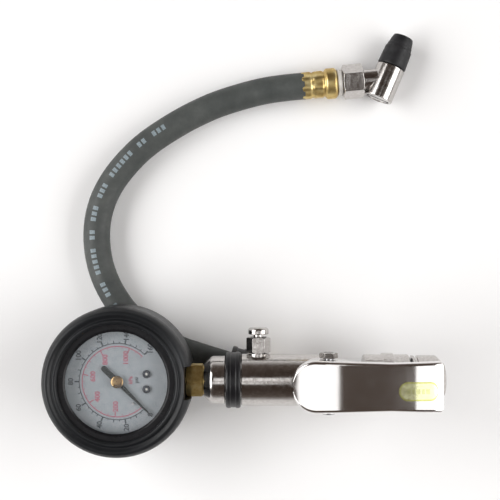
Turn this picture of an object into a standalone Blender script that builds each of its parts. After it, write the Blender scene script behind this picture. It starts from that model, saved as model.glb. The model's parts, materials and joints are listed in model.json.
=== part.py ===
"""Tyre inflator gauge: a dial gauge in a rubber boot, a lever valve body and a short hose with a chuck.

Metres, +Z up. The tool lies on the plane z = 0 with its dial facing up. The body's axis runs along +X in
the plane y = 0, from the gauge head at -X to the air inlet at +X. The hose leaves under the body and loops
round the head to the chuck at +Y.
"""

import math

import bmesh
import bpy
from mathutils import Matrix, Vector

MM = 0.001
GAP = 0.3 * MM  # air between pieces that touch or run on each other
CUT_OVER = 1.0 * MM  # how far a cutter runs past the face it opens

X_AXIS = Vector((1, 0, 0))
Y_AXIS = Vector((0, 1, 0))
Z_AXIS = Vector((0, 0, 1))

# Hose and its fitting under the body
HOSE_R = 6.35 * MM
HOSE_REST = 0.05 * MM
HOSE_STEP = 4 * HOSE_R  # a point of the tube every two diameters
ELBOW_X = 7.0 * MM
ELBOW_R = 6.5 * MM
ELBOW_LEG_R = 4.9 * MM
ELBOW_SHOULDER = 7.2 * MM
BARB_R = 3.6 * MM
BARB_BORE_R = 2.2 * MM
COLLAR_R = 9.5 * MM
COLLAR_REACH = 15.5 * MM
COLLAR_FLOOR = 1.5 * MM
FITTING_TURN = math.radians(16)

# Body, stations along X
CAP_LENGTH = 10.0 * MM
CAP_R = 10.8 * MM
CAP_NOSE_R = 7.4 * MM
CAP_SPIGOT = 2.3 * MM
BAND_LENGTH = 7.0 * MM
BAND_R = 12.7 * MM
BARREL_LENGTH = 43.4 * MM
BARREL_R = 11.7 * MM
BARREL_BORE_R = 8.0 * MM
BARREL_LEAD = 8.3 * MM  # from the barrel's left face to the hose fitting
NECK_LENGTH = 11.8 * MM
NECK_DEPTH = 9.6 * MM
NECK_BORE_R = 4.5 * MM
HOUSING_LENGTH = 20.5 * MM
HOUSING_R = 11.5 * MM
HOUSING_RIB_R = 12.2 * MM
HOUSING_RIB = 5.9 * MM
STEM_AT = 10.9 * MM  # from the housing's left face to the valve stem
TAIL_R = 7.0 * MM
TAIL_LENGTH = 7.6 * MM
INLET_GAP = 1.2 * MM
INLET_LENGTH = 14.8 * MM
INLET_R = 11.1 * MM
INLET_END_R = 7.4 * MM
INLET_TAPER = 3.8 * MM
INLET_PORT_R = 6.0 * MM
INLET_PORT_DEPTH = 7.4 * MM
SCREEN_T = 0.7 * MM

# Valve
STEM_R = 2.2 * MM
CHAMBER_R = 6.0 * MM
SEAT_R = 3.6 * MM
SEAT_RISE = 1.3 * MM  # the seat's height over the body's axis
SEAT_LAND = 5.0 * MM
PASSAGE_R = 1.2 * MM
GLAND_R = 5.6 * MM
GLAND_SEAT_R = 4.2 * MM
GLAND_T = 1.7 * MM
GLAND_SPIGOT = 1.3 * MM
BOSS_R = 6.6 * MM
BOSS_RISE = 14.0 * MM
LOWER_BOSS_R = 8.4 * MM
LOWER_BOSS_DROP = 15.8 * MM
POPPET_T = 3.1 * MM
POPPET_R = 4.9 * MM
STEM_FLANGE_T = 1.2 * MM
PLUG_ACROSS = 17.0 * MM
PLUG_HEAD = 4.5 * MM
PLUG_SPIGOT = 3.5 * MM
SEAL_T = 0.6 * MM

# Lever
PIN_R = 1.85 * MM
PIN_HEAD_R = 3.0 * MM
PIN_HEAD_T = 1.2 * MM
PIN_BACK = 5.2 * MM  # from the barrel's right face back to the pin
PIN_RISE = 18.0 * MM
NUT_ACROSS = 7.0 * MM
NUT_T = 2.5 * MM
LUG_R = 5.2 * MM
LUG_SLOT = 4.5 * MM
LEVER_LENGTH = 64.5 * MM
LEVER_BEHIND = 15.8 * MM  # how far it runs behind the pin
LEVER_RISE = 28.0 * MM
LEVER_T = 1.2 * MM
LEVER_BACK_HALF = 11.7 * MM
LEVER_WAIST_HALF = 10.5 * MM
LEVER_FRONT_HALF = 11.1 * MM
LEVER_CORNER = 10.0 * MM
LEVER_FRONT_CORNER = 1.2 * MM
LEVER_SKIRT = 3.6 * MM
LEVER_EAR = 4.5 * MM
LEVER_BACK_FALL = 3.2 * MM
LEVER_FRONT_FALL = 2.0 * MM
LEVER_FLAT = (7.0 * MM, 36.0 * MM)  # from the pin, where the plate's top is level
LEVER_BEND_R = 1.6 * MM
LEVER_STATIONS = 20

# Bleed valve on the barrel's +Y side
BLEED_BACK = 0.6 * MM  # how far it stands behind the hose fitting
BLEED_ACROSS = 9.45 * MM
BLEED_FOOT = 12.3 * MM
BLEED_HEX = 7.1 * MM
BLEED_SPIGOT_R = 2.9 * MM
BLEED_SPIGOT = 3.6 * MM
BLEED_BOSS_R = 4.9 * MM
BLEED_STEM_R = 1.4 * MM
BLEED_NECK_R = 2.2 * MM
BLEED_POCKET_R = 3.7 * MM
BLEED_POCKET = 4.6 * MM
BLEED_CAP_R = 4.65 * MM
BLEED_CAP_T = 3.2 * MM
BLEED_LIFT = 1.3 * MM
BLEED_TRAVEL = 1.0 * MM

# Gauge head, heights from the bench up
HOSE_CLEAR = 0.85 * MM
BOOT_BACK = 2.5 * MM
BOOT_WALL = 5.8 * MM
BOOT_LIP = 1.9 * MM
BOOT_GRIP = 1.6 * MM  # how far the boot laps over the bezel
BOOT_GROOVE = 2.6 * MM  # from the boot's inner rim out to its groove
BOOT_HOLE_R = 18.0 * MM
STEM_SHOW = 4.7 * MM
CASE_R = 26.5 * MM
CASE_DEPTH = 24.8 * MM
CASE_T = 1.0 * MM
LENS_T = 1.8 * MM
BEZEL_T = 0.8 * MM
BEZEL_SKIRT = 3.0 * MM
BEZEL_RIM = 2.0 * MM  # how much of the dial the bezel covers
DIAL_DROP = 2.4 * MM  # the dial's face under the case's front edge
DIAL_T = 0.6 * MM
DIAL_EDGE = 0.9 * MM  # the dial's clearance in the case
STEM_DROP = 6.6 * MM  # the stem's axis under the dial's face
SOCKET_HEX = 14.0 * MM
SOCKET_THREAD_R = 6.6 * MM
SOCKET_THREAD = 12.0 * MM
SOCKET_NECK_R = 4.9 * MM
SOCKET_HALF = 5.5 * MM
SOCKET_INNER = 9.0 * MM
SOCKET_BORE_R = 1.6 * MM
RESTRICTOR_R = 1.2 * MM
TUBE_R = 18.0 * MM
TUBE_HALF = 0.9 * MM
TUBE_RISE = (10.8 * MM, 16.8 * MM)  # the Bourdon tube's edges over the case's back
TUBE_ARC = (math.radians(20), math.radians(256))
TIP_ARC = (math.radians(257), math.radians(274))
TIP_PIN = math.radians(268)

# Movement and pointer
PLATE_T = 0.8 * MM
PLATE_RISE = (5.8 * MM, 17.8 * MM)
PLATE_EDGES = (-10.0 * MM, 8.4 * MM, -12.6 * MM, 5.0 * MM)
ARBOR_R = 0.7 * MM
ARBOR_HOLE_R = 1.0 * MM
PILLAR_R = 1.2 * MM
PILLARS = ((-8.0 * MM, 2.0 * MM), (6.6 * MM, -9.0 * MM))
GEAR_RISE = 12.6 * MM
GEAR_T = 1.2 * MM
PINION_R = 1.2 * MM
PINION_TEETH = 12
GEAR_RATIO = 8
TOOTH = 0.22 * MM
TAIL_PIN_R = 0.5 * MM
GEAR_TAIL = 4.5 * MM
GEAR_TAIL_ANGLE = math.radians(-150)
LINK_T = 0.6 * MM
POINTER_RISE = 0.8 * MM
POINTER_T = 0.5 * MM
POINTER_SHORT = 0.6 * MM  # how far the pointer stops short of the window
POINTER_TAIL = 9.6 * MM
POINTER_ZERO = math.radians(-45)
HUB_R = 2.8 * MM
HUB_NECK_R = 1.5 * MM
DIAL_SCREW_OUT = 13.0 * MM
DIAL_SCREW_SIDE = 3.4 * MM
DIAL_SCREW_R = 1.8 * MM
CASE_SCREW_OUT = 14.0 * MM
CASE_SCREW_SIDE = 3.1 * MM

# Chuck end
FERRULE_MOUTH = Vector((27.0, 137.0, 8.3)) * MM
FERRULE_TURN = math.radians(5.3)
FERRULE_LENGTH = 17.0 * MM
FERRULE_R = 6.5 * MM
FERRULE_BEAD_R = 7.3 * MM
FERRULE_BORE_R = 5.4 * MM
WASHER_R = 6.1 * MM
WASHER_T = 2.2 * MM
NUT_LENGTH = 9.8 * MM
NUT_FLATS = 14.3 * MM
NUT_WALL = 2.3 * MM
NUT_SPIN = math.radians(10)
INSERT_FLANGE_T = 1.7 * MM
NECK_THREAD_R = 5.2 * MM
CHUCK_REACH = 11.2 * MM  # from the nut's face to the chuck's axis
CHUCK_TURN = math.radians(67.1)
CHUCK_R = 6.85 * MM
CHUCK_BACK = 10.6 * MM
CHUCK_FRONT = 5.7 * MM
CHUCK_BORE_R = 4.0 * MM
CHUCK_PLUG_R = 5.2 * MM
CHUCK_PLUG_T = 3.0 * MM
NOSE_LENGTH = 15.2 * MM
NOSE_TIP_R = 4.75 * MM
NOSE_STEP = 0.4 * MM
NOSE_END = 6.4 * MM  # the narrower length at the tip
NOSE_BORE_R = 3.9 * MM
NOSE_SPIGOT = 3.4 * MM
DEPRESSOR_R = 1.2 * MM
DEPRESSOR_TRAVEL = 2.0 * MM

# Stations and heights that follow
BARREL_X0 = ELBOW_X - BARREL_LEAD
BARREL_X1 = BARREL_X0 + BARREL_LENGTH
BAND_X0 = BARREL_X0 - BAND_LENGTH
CAP_X0 = BAND_X0 - CAP_LENGTH
HOUSING_X0 = BARREL_X1 + NECK_LENGTH
HOUSING_X1 = HOUSING_X0 + HOUSING_LENGTH
INLET_X0 = HOUSING_X1 + INLET_GAP
INLET_X1 = INLET_X0 + INLET_LENGTH
STEM_X = HOUSING_X0 + STEM_AT
PIN_X = BARREL_X1 - PIN_BACK
BLEED_X = ELBOW_X - BLEED_BACK
DIAL_R = CASE_R - CASE_T - DIAL_EDGE
BEZEL_WINDOW_R = DIAL_R - BEZEL_RIM
POINTER_TIP = BEZEL_WINDOW_R - POINTER_SHORT
BEZEL_R = CASE_R + GAP + BEZEL_T
BOOT_R = BEZEL_R + GAP + BOOT_WALL
GAUGE_X = CAP_X0 - STEM_SHOW - BOOT_R

HOSE_Z = HOSE_R + HOSE_REST
FITTING_Z = COLLAR_R
BOOT_Z0 = 2 * HOSE_R + HOSE_CLEAR
CASE_Z0 = BOOT_Z0 + BOOT_BACK + GAP
CASE_Z1 = CASE_Z0 + CASE_DEPTH
LENS_Z0 = CASE_Z1 + GAP
BEZEL_Z1 = LENS_Z0 + LENS_T + GAP + BEZEL_T
BOOT_Z1 = BEZEL_Z1 + GAP + BOOT_LIP
DIAL_Z = CASE_Z1 - DIAL_DROP
AXIS_Z = DIAL_Z - STEM_DROP
PIN_Z = AXIS_Z + PIN_RISE
SEAT_Z = AXIS_Z + SEAT_RISE
LEVER_Z = AXIS_Z + LEVER_RISE
GEAR_Z = CASE_Z0 + GEAR_RISE
GEAR_R = PINION_R * GEAR_RATIO
GEAR_CENTRE = Vector((GAUGE_X, -(PINION_R + GEAR_R), GEAR_Z))

HOSE_OUT = Vector((-math.cos(FITTING_TURN), math.sin(FITTING_TURN), 0))
FITTING = Vector((ELBOW_X, 0, FITTING_Z))
FERRULE_OUT = Vector((math.cos(FERRULE_TURN), math.sin(FERRULE_TURN), 0))
CHUCK_OUT = Vector((math.cos(CHUCK_TURN), math.sin(CHUCK_TURN), 0))
WASHER_S = FERRULE_LENGTH + GAP
NUT_S = WASHER_S + WASHER_T + GAP
CHUCK_S = NUT_S + NUT_LENGTH + CHUCK_REACH
CHUCK = FERRULE_MOUTH + FERRULE_OUT * CHUCK_S

# The hose's route between its collar and its ferrule, in millimetres: x, y and the lift over its rest
HOSE_ROUTE = (
    (-13.0, 5.74, 3.0),
    (-22.0, 8.4, 1.5),
    (-31.0, 11.3, 0.2),
    (-40.0, 15.4, 0.0),
    (-49.0, 21.3, 0.0),
    (-56.3, 28.3, 0.0),
    (-62.2, 36.3, 0.0),
    (-66.8, 45.2, 0.0),
    (-69.8, 55.2, 0.0),
    (-70.8, 66.0, 0.0),
    (-69.6, 76.6, 0.0),
    (-65.8, 87.0, 0.0),
    (-58.8, 97.6, 0.0),
    (-47.5, 109.0, 0.0),
    (-32.0, 119.4, 0.0),
    (-17.0, 127.0, 0.0),
    (-4.2, 131.5, 0.2),
    (8.0, 134.6, 1.1),
    (18.0, 136.1, 1.8),
)


def clear_scene():
    for obj in list(bpy.data.objects):
        bpy.data.objects.remove(obj)


def material(name, colour, roughness, metallic):
    """A Principled material, made once."""
    made = bpy.data.materials.get(name)
    if made is None:
        made = bpy.data.materials.new(name)
        made.use_nodes = True
        shader = made.node_tree.nodes["Principled BSDF"]
        shader.inputs["Base Color"].default_value = (*colour, 1)
        shader.inputs["Roughness"].default_value = roughness
        shader.inputs["Metallic"].default_value = metallic
    return made


def chrome():
    return material("chrome", (0.78, 0.78, 0.78), 0.08, 1.0)


def brass():
    return material("brass", (0.78, 0.57, 0.22), 0.25, 1.0)


def steel():
    return material("steel", (0.55, 0.56, 0.57), 0.35, 1.0)


def rubber():
    return material("black_rubber", (0.03, 0.03, 0.032), 0.6, 0.0)


def seal_rubber():
    return material("seal_rubber", (0.05, 0.05, 0.05), 0.7, 0.0)


def black_paint():
    return material("black_paint", (0.02, 0.02, 0.022), 0.25, 0.0)


def axes_to(direction):
    """The rotation that turns +Z to direction."""
    return Vector(direction).to_track_quat("Z", "Y").to_matrix().to_4x4()


def object_from(name, bm, place, look):
    """A linked object from a bmesh, with its faces outward and its round sides smooth."""
    bmesh.ops.recalc_face_normals(bm, faces=bm.faces)
    mesh = bpy.data.meshes.new(name)
    bm.to_mesh(mesh)
    bm.free()
    obj = bpy.data.objects.new(name, mesh)
    bpy.context.scene.collection.objects.link(obj)
    obj.matrix_world = place
    if look is not None:
        mesh.materials.append(look)
    smooth(mesh)
    return obj


def smooth(mesh):
    mesh.shade_smooth()
    mesh.set_sharp_from_angle(angle=math.radians(35))


def turned(name, outline, at, along, look=None, sides=24):
    """A solid turned round the axis through at, from a closed loop of (radius, height along the axis)."""
    bm = bmesh.new()
    rings = []
    for radius, height in outline:
        if radius == 0:
            rings.append([bm.verts.new((0, 0, height))] * sides)
            continue
        angles = [math.tau * i / sides for i in range(sides)]
        rings.append([bm.verts.new((radius * math.cos(a), radius * math.sin(a), height)) for a in angles])
    for lower, upper in zip(rings, rings[1:] + rings[:1], strict=True):
        for i in range(sides):
            j = (i + 1) % sides
            corners = list(dict.fromkeys((lower[i], lower[j], upper[j], upper[i])))
            if len(corners) > 2:
                bm.faces.new(corners)
    return object_from(name, bm, Matrix.Translation(at) @ axes_to(along), look)


def rod(name, radius, start, end, at, along, look=None, sides=24):
    """A cylinder from height start to height end on the axis."""
    return turned(name, [(0, start), (radius, start), (radius, end), (0, end)], at, along, look, sides)


def ring(name, inner, outer, start, end, at, along, look=None, sides=24):
    """A flat ring, square in section."""
    outline = [(inner, start), (outer, start), (outer, end), (inner, end)]
    return turned(name, outline, at, along, look, sides)


def o_ring(name, inner, outer, start, end, at, along, sides=20):
    """A seal, six-sided in section."""
    outline = []
    for k in range(6):
        turn = math.tau * k / 6
        radius = (inner + outer) / 2 + (outer - inner) / 2 * math.cos(turn)
        outline.append((radius, (start + end) / 2 + (end - start) / 2 * math.sin(turn)))
    return turned(name, outline, at, along, seal_rubber(), sides)


def prism(name, outline, start, end, place, look=None):
    """An outline in the place's XY plane, extruded along its Z."""
    bm = bmesh.new()
    bottom = [bm.verts.new((x, y, start)) for x, y in outline]
    top = [bm.verts.new((x, y, end)) for x, y in outline]
    bm.faces.new(bottom[::-1])
    bm.faces.new(top)
    for i in range(len(outline)):
        j = (i + 1) % len(outline)
        bm.faces.new((bottom[i], bottom[j], top[j], top[i]))
    return object_from(name, bm, place, look)


def box(name, low, high, look=None):
    """A box between two corners."""
    outline = [(low[0], low[1]), (high[0], low[1]), (high[0], high[1]), (low[0], high[1])]
    return prism(name, outline, low[2], high[2], Matrix.Identity(4), look)


def arc(radius, start, end, steps, centre=(0, 0)):
    """Points along an arc, both ends included."""
    turns = [start + (end - start) * i / steps for i in range(steps + 1)]
    return [(centre[0] + radius * math.cos(t), centre[1] + radius * math.sin(t)) for t in turns]


def hex_nut(name, across, start, end, at, along, look, corner_first=True, spin=0):
    """A hexagon bar end with its corners chamfered both ends. corner_first puts a corner on the local X."""
    corner = across / math.sqrt(3)
    turn = spin if corner_first else math.pi / 6
    place = Matrix.Translation(at) @ axes_to(along)
    outline = arc(corner, turn, turn + math.tau * 5 / 6, 5)
    nut = prism(name, outline, start, end, place, look)
    chamfer = (corner - across / 2) * 0.9
    rim = across / 2 * 1.02
    drop = chamfer * 0.6
    shape = [
        (0, start),
        (rim, start),
        (corner * 1.01, start + drop),
        (corner * 1.01, end - drop),
        (rim, end),
        (0, end),
    ]
    limit = turned("limit", shape, at, along)
    return combine(nut, "INTERSECT", limit)


def combine(obj, operation, *others):
    """Applies Booleans to obj, one at a time, and removes the other objects."""
    look = obj.data.materials[0] if obj.data.materials else None
    for other in others:
        modifier = obj.modifiers.new(operation.title(), "BOOLEAN")
        modifier.operation = operation
        modifier.solver = "EXACT"
        modifier.object = other
        bpy.context.view_layer.update()
        graph = bpy.context.evaluated_depsgraph_get()
        mesh = bpy.data.meshes.new_from_object(obj.evaluated_get(graph), depsgraph=graph)
        obj.modifiers.clear()
        mesh.materials.clear()
        if look is not None:
            mesh.materials.append(look)
        obj.data = mesh
        bpy.data.objects.remove(other)
        tidy(mesh)
    return obj


def tidy(mesh):
    """Merges the slivers that a Boolean leaves and shades the result."""
    bm = bmesh.new()
    bm.from_mesh(mesh)
    bmesh.ops.remove_doubles(bm, verts=bm.verts, dist=0.002 * MM)
    bm.to_mesh(mesh)
    bm.free()
    smooth(mesh)


def cut(obj, *cutters):
    return combine(obj, "DIFFERENCE", *cutters)


def join(obj, *others):
    return combine(obj, "UNION", *others)


def spring(name, radius, wire, start, end, turns, at, along):
    """A coil spring: a square wire on a helix, inside start and end."""
    sides = 4
    per_turn = 10
    count = turns * per_turn
    low = start + wire
    rise = end - start - 2 * wire
    place = Matrix.Translation(at) @ axes_to(along)
    pitch = rise / turns / math.tau
    bm = bmesh.new()
    loops = []
    for k in range(count + 1):
        turn = math.tau * k / per_turn
        out = Vector((math.cos(turn), math.sin(turn), 0))
        ahead = Vector((-radius * math.sin(turn), radius * math.cos(turn), pitch)).normalized()
        up = out.cross(ahead)
        centre = out * radius + Z_AXIS * (low + rise * k / count)
        angles = [math.tau * s / sides for s in range(sides)]
        loops.append([bm.verts.new(centre + (out * math.cos(a) + up * math.sin(a)) * wire) for a in angles])
    bm.faces.new(loops[0])
    bm.faces.new(loops[-1])
    for one, two in zip(loops, loops[1:], strict=False):
        for s in range(sides):
            t = (s + 1) % sides
            bm.faces.new((one[s], one[t], two[t], two[s]))
    return object_from(name, bm, place, steel())


# Gauge head

GAUGE = Vector((GAUGE_X, 0, 0))


def gauge_boot():
    """The rubber boot: ridged rim, a window, an open back and a slot that the stem slides into."""
    rim_in = BEZEL_R - BOOT_GRIP
    mid = rim_in + BOOT_GROOVE
    outline = [
        (BOOT_HOLE_R, BOOT_Z0),
        (BOOT_R - 2.7 * MM, BOOT_Z0),
        (BOOT_R - 0.9 * MM, BOOT_Z0 + 1.4 * MM),
        (BOOT_R, BOOT_Z0 + 5.0 * MM),
        (BOOT_R, BOOT_Z1 - 4.6 * MM),
        (BOOT_R - 0.5 * MM, BOOT_Z1 - 2.2 * MM),
        (BOOT_R - 1.7 * MM, BOOT_Z1 - 0.5 * MM),
        (mid + 1.3 * MM, BOOT_Z1 - 0.2 * MM),
        (mid, BOOT_Z1 - 1.1 * MM),
        (mid - 0.9 * MM, BOOT_Z1 - 0.1 * MM),
        (rim_in + 0.7 * MM, BOOT_Z1 - 0.3 * MM),
        (rim_in, BEZEL_Z1 + GAP),
        (BEZEL_R + GAP, BEZEL_Z1 + GAP),
        (BEZEL_R + GAP, CASE_Z1 - BEZEL_SKIRT - GAP),
        (CASE_R + GAP, CASE_Z1 - BEZEL_SKIRT - GAP),
        (CASE_R + GAP, BOOT_Z0 + BOOT_BACK),
        (BOOT_HOLE_R, BOOT_Z0 + BOOT_BACK),
    ]
    boot = turned("gauge_boot", outline, GAUGE, Z_AXIS, rubber(), 48)
    half = SOCKET_HEX / 2 + GAP
    low = AXIS_Z - SOCKET_HEX / math.sqrt(3) - GAP
    start = GAUGE_X + BOOT_R - STEM_SHOW + 1.2 * MM
    slot = box("slot", (start, -half, low), (GAUGE_X + BOOT_R + 3 * MM, half, BOOT_Z1 + CUT_OVER))
    neck = rod("neck", SOCKET_NECK_R + GAP, CASE_R - 4 * MM, BOOT_R, GAUGE + Z_AXIS * AXIS_Z, X_AXIS)
    return cut(boot, slot, neck)


def gauge_case():
    """A drawn steel cup with a hole for the stem and two for its screws."""
    outline = [
        (0, CASE_Z0),
        (CASE_R - 0.8 * MM, CASE_Z0),
        (CASE_R, CASE_Z0 + 0.8 * MM),
        (CASE_R, CASE_Z1),
        (CASE_R - CASE_T, CASE_Z1),
        (CASE_R - CASE_T, CASE_Z0 + CASE_T),
        (0, CASE_Z0 + CASE_T),
    ]
    case = turned("gauge_case", outline, GAUGE, Z_AXIS, steel(), 40)
    on_axis = GAUGE + Z_AXIS * AXIS_Z
    neck = rod("neck", SOCKET_NECK_R + GAP, CASE_R - 4 * MM, CASE_R + CUT_OVER, on_axis, X_AXIS)
    holes = [rod(f"hole{i}", 1.5 * MM, -CUT_OVER, CASE_T + CUT_OVER, at, Z_AXIS, sides=16)
             for i, at in enumerate(case_screw_spots())]
    return cut(case, neck, *holes)


def case_screw_spots():
    spots = ((CASE_SCREW_OUT, side) for side in (-CASE_SCREW_SIDE, CASE_SCREW_SIDE))
    return [Vector((GAUGE_X + x, y, CASE_Z0)) for x, y in spots]


def dial_screw_spots():
    spots = ((DIAL_SCREW_OUT, side) for side in (-DIAL_SCREW_SIDE, DIAL_SCREW_SIDE))
    return [Vector((GAUGE_X + x, y, DIAL_Z)) for x, y in spots]


def gauge_bezel():
    """The ring that clips over the case and holds the lens."""
    skirt_z = CASE_Z1 - BEZEL_SKIRT
    outline = [
        (CASE_R + GAP, skirt_z),
        (BEZEL_R, skirt_z),
        (BEZEL_R, BEZEL_Z1 - 0.3 * MM),
        (BEZEL_R - 0.3 * MM, BEZEL_Z1),
        (BEZEL_WINDOW_R + 0.4 * MM, BEZEL_Z1),
        (BEZEL_WINDOW_R, BEZEL_Z1 - BEZEL_T),
        (CASE_R + GAP, BEZEL_Z1 - BEZEL_T),
    ]
    return turned("gauge_bezel", outline, GAUGE, Z_AXIS, black_paint(), 40)


def gauge_lens():
    clear = material("clear_lens", (0.9, 0.95, 0.97), 0.05, 0.0)
    return rod("gauge_lens", CASE_R - 0.2 * MM, LENS_Z0, LENS_Z0 + LENS_T, GAUGE, Z_AXIS, clear, 40)


def dial_plate():
    white = material("dial_white", (0.62, 0.67, 0.7), 0.5, 0.0)
    dial = rod("dial_plate", DIAL_R, DIAL_Z - DIAL_T, DIAL_Z, GAUGE, Z_AXIS, white, 40)
    low, high = DIAL_Z - DIAL_T - CUT_OVER, DIAL_Z + CUT_OVER
    centre = rod("centre", HUB_NECK_R + GAP, low, high, GAUGE, Z_AXIS, sides=20)
    holes = [rod(f"hole{i}", 1.4 * MM, -DIAL_T - CUT_OVER, CUT_OVER, at, Z_AXIS, sides=16)
             for i, at in enumerate(dial_screw_spots())]
    return cut(dial, centre, *holes)


def screw(name, head_r, head_t, shank_r, shank, at, along, look):
    """A slotted pan-head screw. The head stands GAP above at, and the shank goes the other way."""
    outline = [
        (0, -shank),
        (shank_r, -shank),
        (shank_r, GAP),
        (head_r, GAP),
        (head_r, GAP + head_t * 0.6),
        (head_r * 0.7, GAP + head_t),
        (0, GAP + head_t),
    ]
    made = turned(name, outline, at, along, look, 20)
    slot_half = head_r * 0.16
    place = Matrix.Translation(at) @ axes_to(along)
    reach = 2 * head_r
    plan = [(-reach, -slot_half), (reach, -slot_half), (reach, slot_half), (-reach, slot_half)]
    return cut(made, prism("slot", plan, GAP + head_t * 0.55, GAP + head_t + CUT_OVER, place))


def gauge_screws():
    dark = material("blued_steel", (0.06, 0.07, 0.08), 0.35, 0.9)
    for i, at in enumerate(dial_screw_spots()):
        screw(f"dial_screw_{i + 1}", DIAL_SCREW_R, 0.8 * MM, 1.1 * MM, DIAL_T + 3.4 * MM, at, Z_AXIS, dark)
    for i, at in enumerate(case_screw_spots()):
        screw(f"case_screw_{i + 1}", 2.5 * MM, 1.2 * MM, 1.2 * MM, CASE_T + 3.6 * MM, at, -Z_AXIS, steel())


def gauge_socket():
    """The brass stem: a block in the case, a neck, wrench flats and a thread into the end cap."""
    outer = CASE_R - CASE_T - 1.0 * MM
    low, high = CASE_Z0 + CASE_T + GAP, DIAL_Z - DIAL_T - GAP
    socket = box(
        "gauge_socket",
        (GAUGE_X + SOCKET_INNER, -SOCKET_HALF, low),
        (GAUGE_X + outer, SOCKET_HALF, high),
        brass(),
    )
    on_axis = GAUGE + Z_AXIS * AXIS_Z
    hex_start = BOOT_R - STEM_SHOW + 1.5 * MM
    hex_end = CAP_X0 - GAP - GAUGE_X
    thread_end = hex_end + GAP + SOCKET_THREAD
    neck = rod("neck", SOCKET_NECK_R, outer - 2 * MM, hex_start + 1 * MM, on_axis, X_AXIS)
    nut = hex_nut("nut", SOCKET_HEX, hex_start, hex_end, on_axis, X_AXIS, None, corner_first=False)
    thread = rod("thread", SOCKET_THREAD_R, hex_end - 1 * MM, thread_end, on_axis, X_AXIS)
    join(socket, neck, nut, thread)
    bore_start, bore_end = SOCKET_INNER + 4 * MM, thread_end + CUT_OVER
    bore = rod("bore", SOCKET_BORE_R, bore_start, bore_end, on_axis, X_AXIS, sides=16)
    tube_root = Vector((GAUGE_X + TUBE_R, 0, AXIS_Z - 0.6 * MM))
    side = rod("side", 0.9 * MM, 0, SOCKET_HALF + CUT_OVER, tube_root, Y_AXIS, sides=12)
    holes = [rod(f"hole{i}", 1.4 * MM, -4.6 * MM, 0, at, Z_AXIS, sides=16)
             for i, at in enumerate(dial_screw_spots())]
    holes += [rod(f"back{i}", 1.5 * MM, 0, CASE_T + 4.2 * MM, at, Z_AXIS, sides=16)
              for i, at in enumerate(case_screw_spots())]
    return cut(socket, bore, side, *holes)


def restrictor():
    """A plug with a fine hole in the stem's bore, which slows pressure shocks."""
    start = BOOT_R - STEM_SHOW + 4 * MM
    on_axis = GAUGE + Z_AXIS * AXIS_Z
    return ring("restrictor", 0.35 * MM, RESTRICTOR_R, start, start + 4 * MM, on_axis, X_AXIS, steel(), 12)


def bourdon_tube():
    """The flattened tube that uncurls under pressure, hollow from end to end, and its brazed tip."""
    low, high = (CASE_Z0 + rise for rise in TUBE_RISE)
    bronze = material("phosphor_bronze", (0.72, 0.46, 0.27), 0.35, 1.0)
    place = Matrix.Translation(GAUGE)

    def band(half, start, end, steps):
        outer = arc(TUBE_R + half, start, end, steps)
        return outer + arc(TUBE_R - half, end, start, steps)

    tube = prism("bourdon_tube", band(TUBE_HALF, *TUBE_ARC, 40), low, high, place, bronze)
    over = math.radians(1)
    bore = prism(
        "bore",
        band(TUBE_HALF * 0.5, TUBE_ARC[0] - over, TUBE_ARC[1] + over, 40),
        low + 0.5 * MM,
        high - 0.5 * MM,
        place,
    )
    cut(tube, bore)
    tip_top = GEAR_Z + GEAR_T + GAP
    prism("tube_tip", band(TUBE_HALF * 1.2, *TIP_ARC, 3), low + 0.4 * MM, tip_top, place, bronze)


def movement_plates():
    """Two brass plates with holes for the arbors, held apart by two pillars."""
    left, right, near, far = PLATE_EDGES
    plan = [(left, near), (right, near), (right, far), (left, far)]
    place = Matrix.Translation(GAUGE)
    for name, rise in zip(("movement_plate_back", "movement_plate_front"), PLATE_RISE, strict=True):
        low = CASE_Z0 + rise
        plate = prism(name, plan, low, low + PLATE_T, place, brass())
        holes = []
        for i, spot in enumerate((GAUGE, Vector((GEAR_CENTRE.x, GEAR_CENTRE.y, 0)))):
            ends = (low - CUT_OVER, low + PLATE_T + CUT_OVER)
            holes.append(rod(f"hole{i}", ARBOR_HOLE_R, *ends, spot, Z_AXIS, sides=12))
        cut(plate, *holes)
    low = CASE_Z0 + PLATE_RISE[0] + PLATE_T + GAP
    high = CASE_Z0 + PLATE_RISE[1] - GAP
    for i, (x, y) in enumerate(PILLARS):
        rod(f"movement_pillar_{i + 1}", PILLAR_R, low, high, GAUGE + Vector((x, y, 0)), Z_AXIS, brass(), 12)


def toothed(pitch_r, teeth, first, last):
    """The outline of teeth number first to last on a gear, each a narrow trapezoid with backlash."""
    step = math.tau / teeth
    points = []
    for k in range(first, last + 1):
        for radius, side in ((-1.2, -0.28), (0.9, -0.1), (0.9, 0.1), (-1.2, 0.28)):
            turn = step * (k + side)
            reach = pitch_r + radius * TOOTH
            points.append((reach * math.cos(turn), reach * math.sin(turn)))
    return points


def pinion_arbor():
    """The pointer's shaft with its pinion."""
    low = CASE_Z0 + PLATE_RISE[0] - 0.4 * MM
    top = DIAL_Z + POINTER_RISE + 0.9 * MM
    arbor = rod("pinion_arbor", ARBOR_R, low, top, GAUGE, Z_AXIS, steel(), 12)
    turn = Matrix.Rotation(math.pi / 2, 4, "Z")
    place = Matrix.Translation(GAUGE) @ turn @ Matrix.Rotation(math.pi / PINION_TEETH, 4, "Z")
    outline = toothed(PINION_R, PINION_TEETH, 0, PINION_TEETH - 1)
    teeth = prism("teeth", outline, GEAR_Z, GEAR_Z + GEAR_T, place)
    return join(arbor, teeth)


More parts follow.
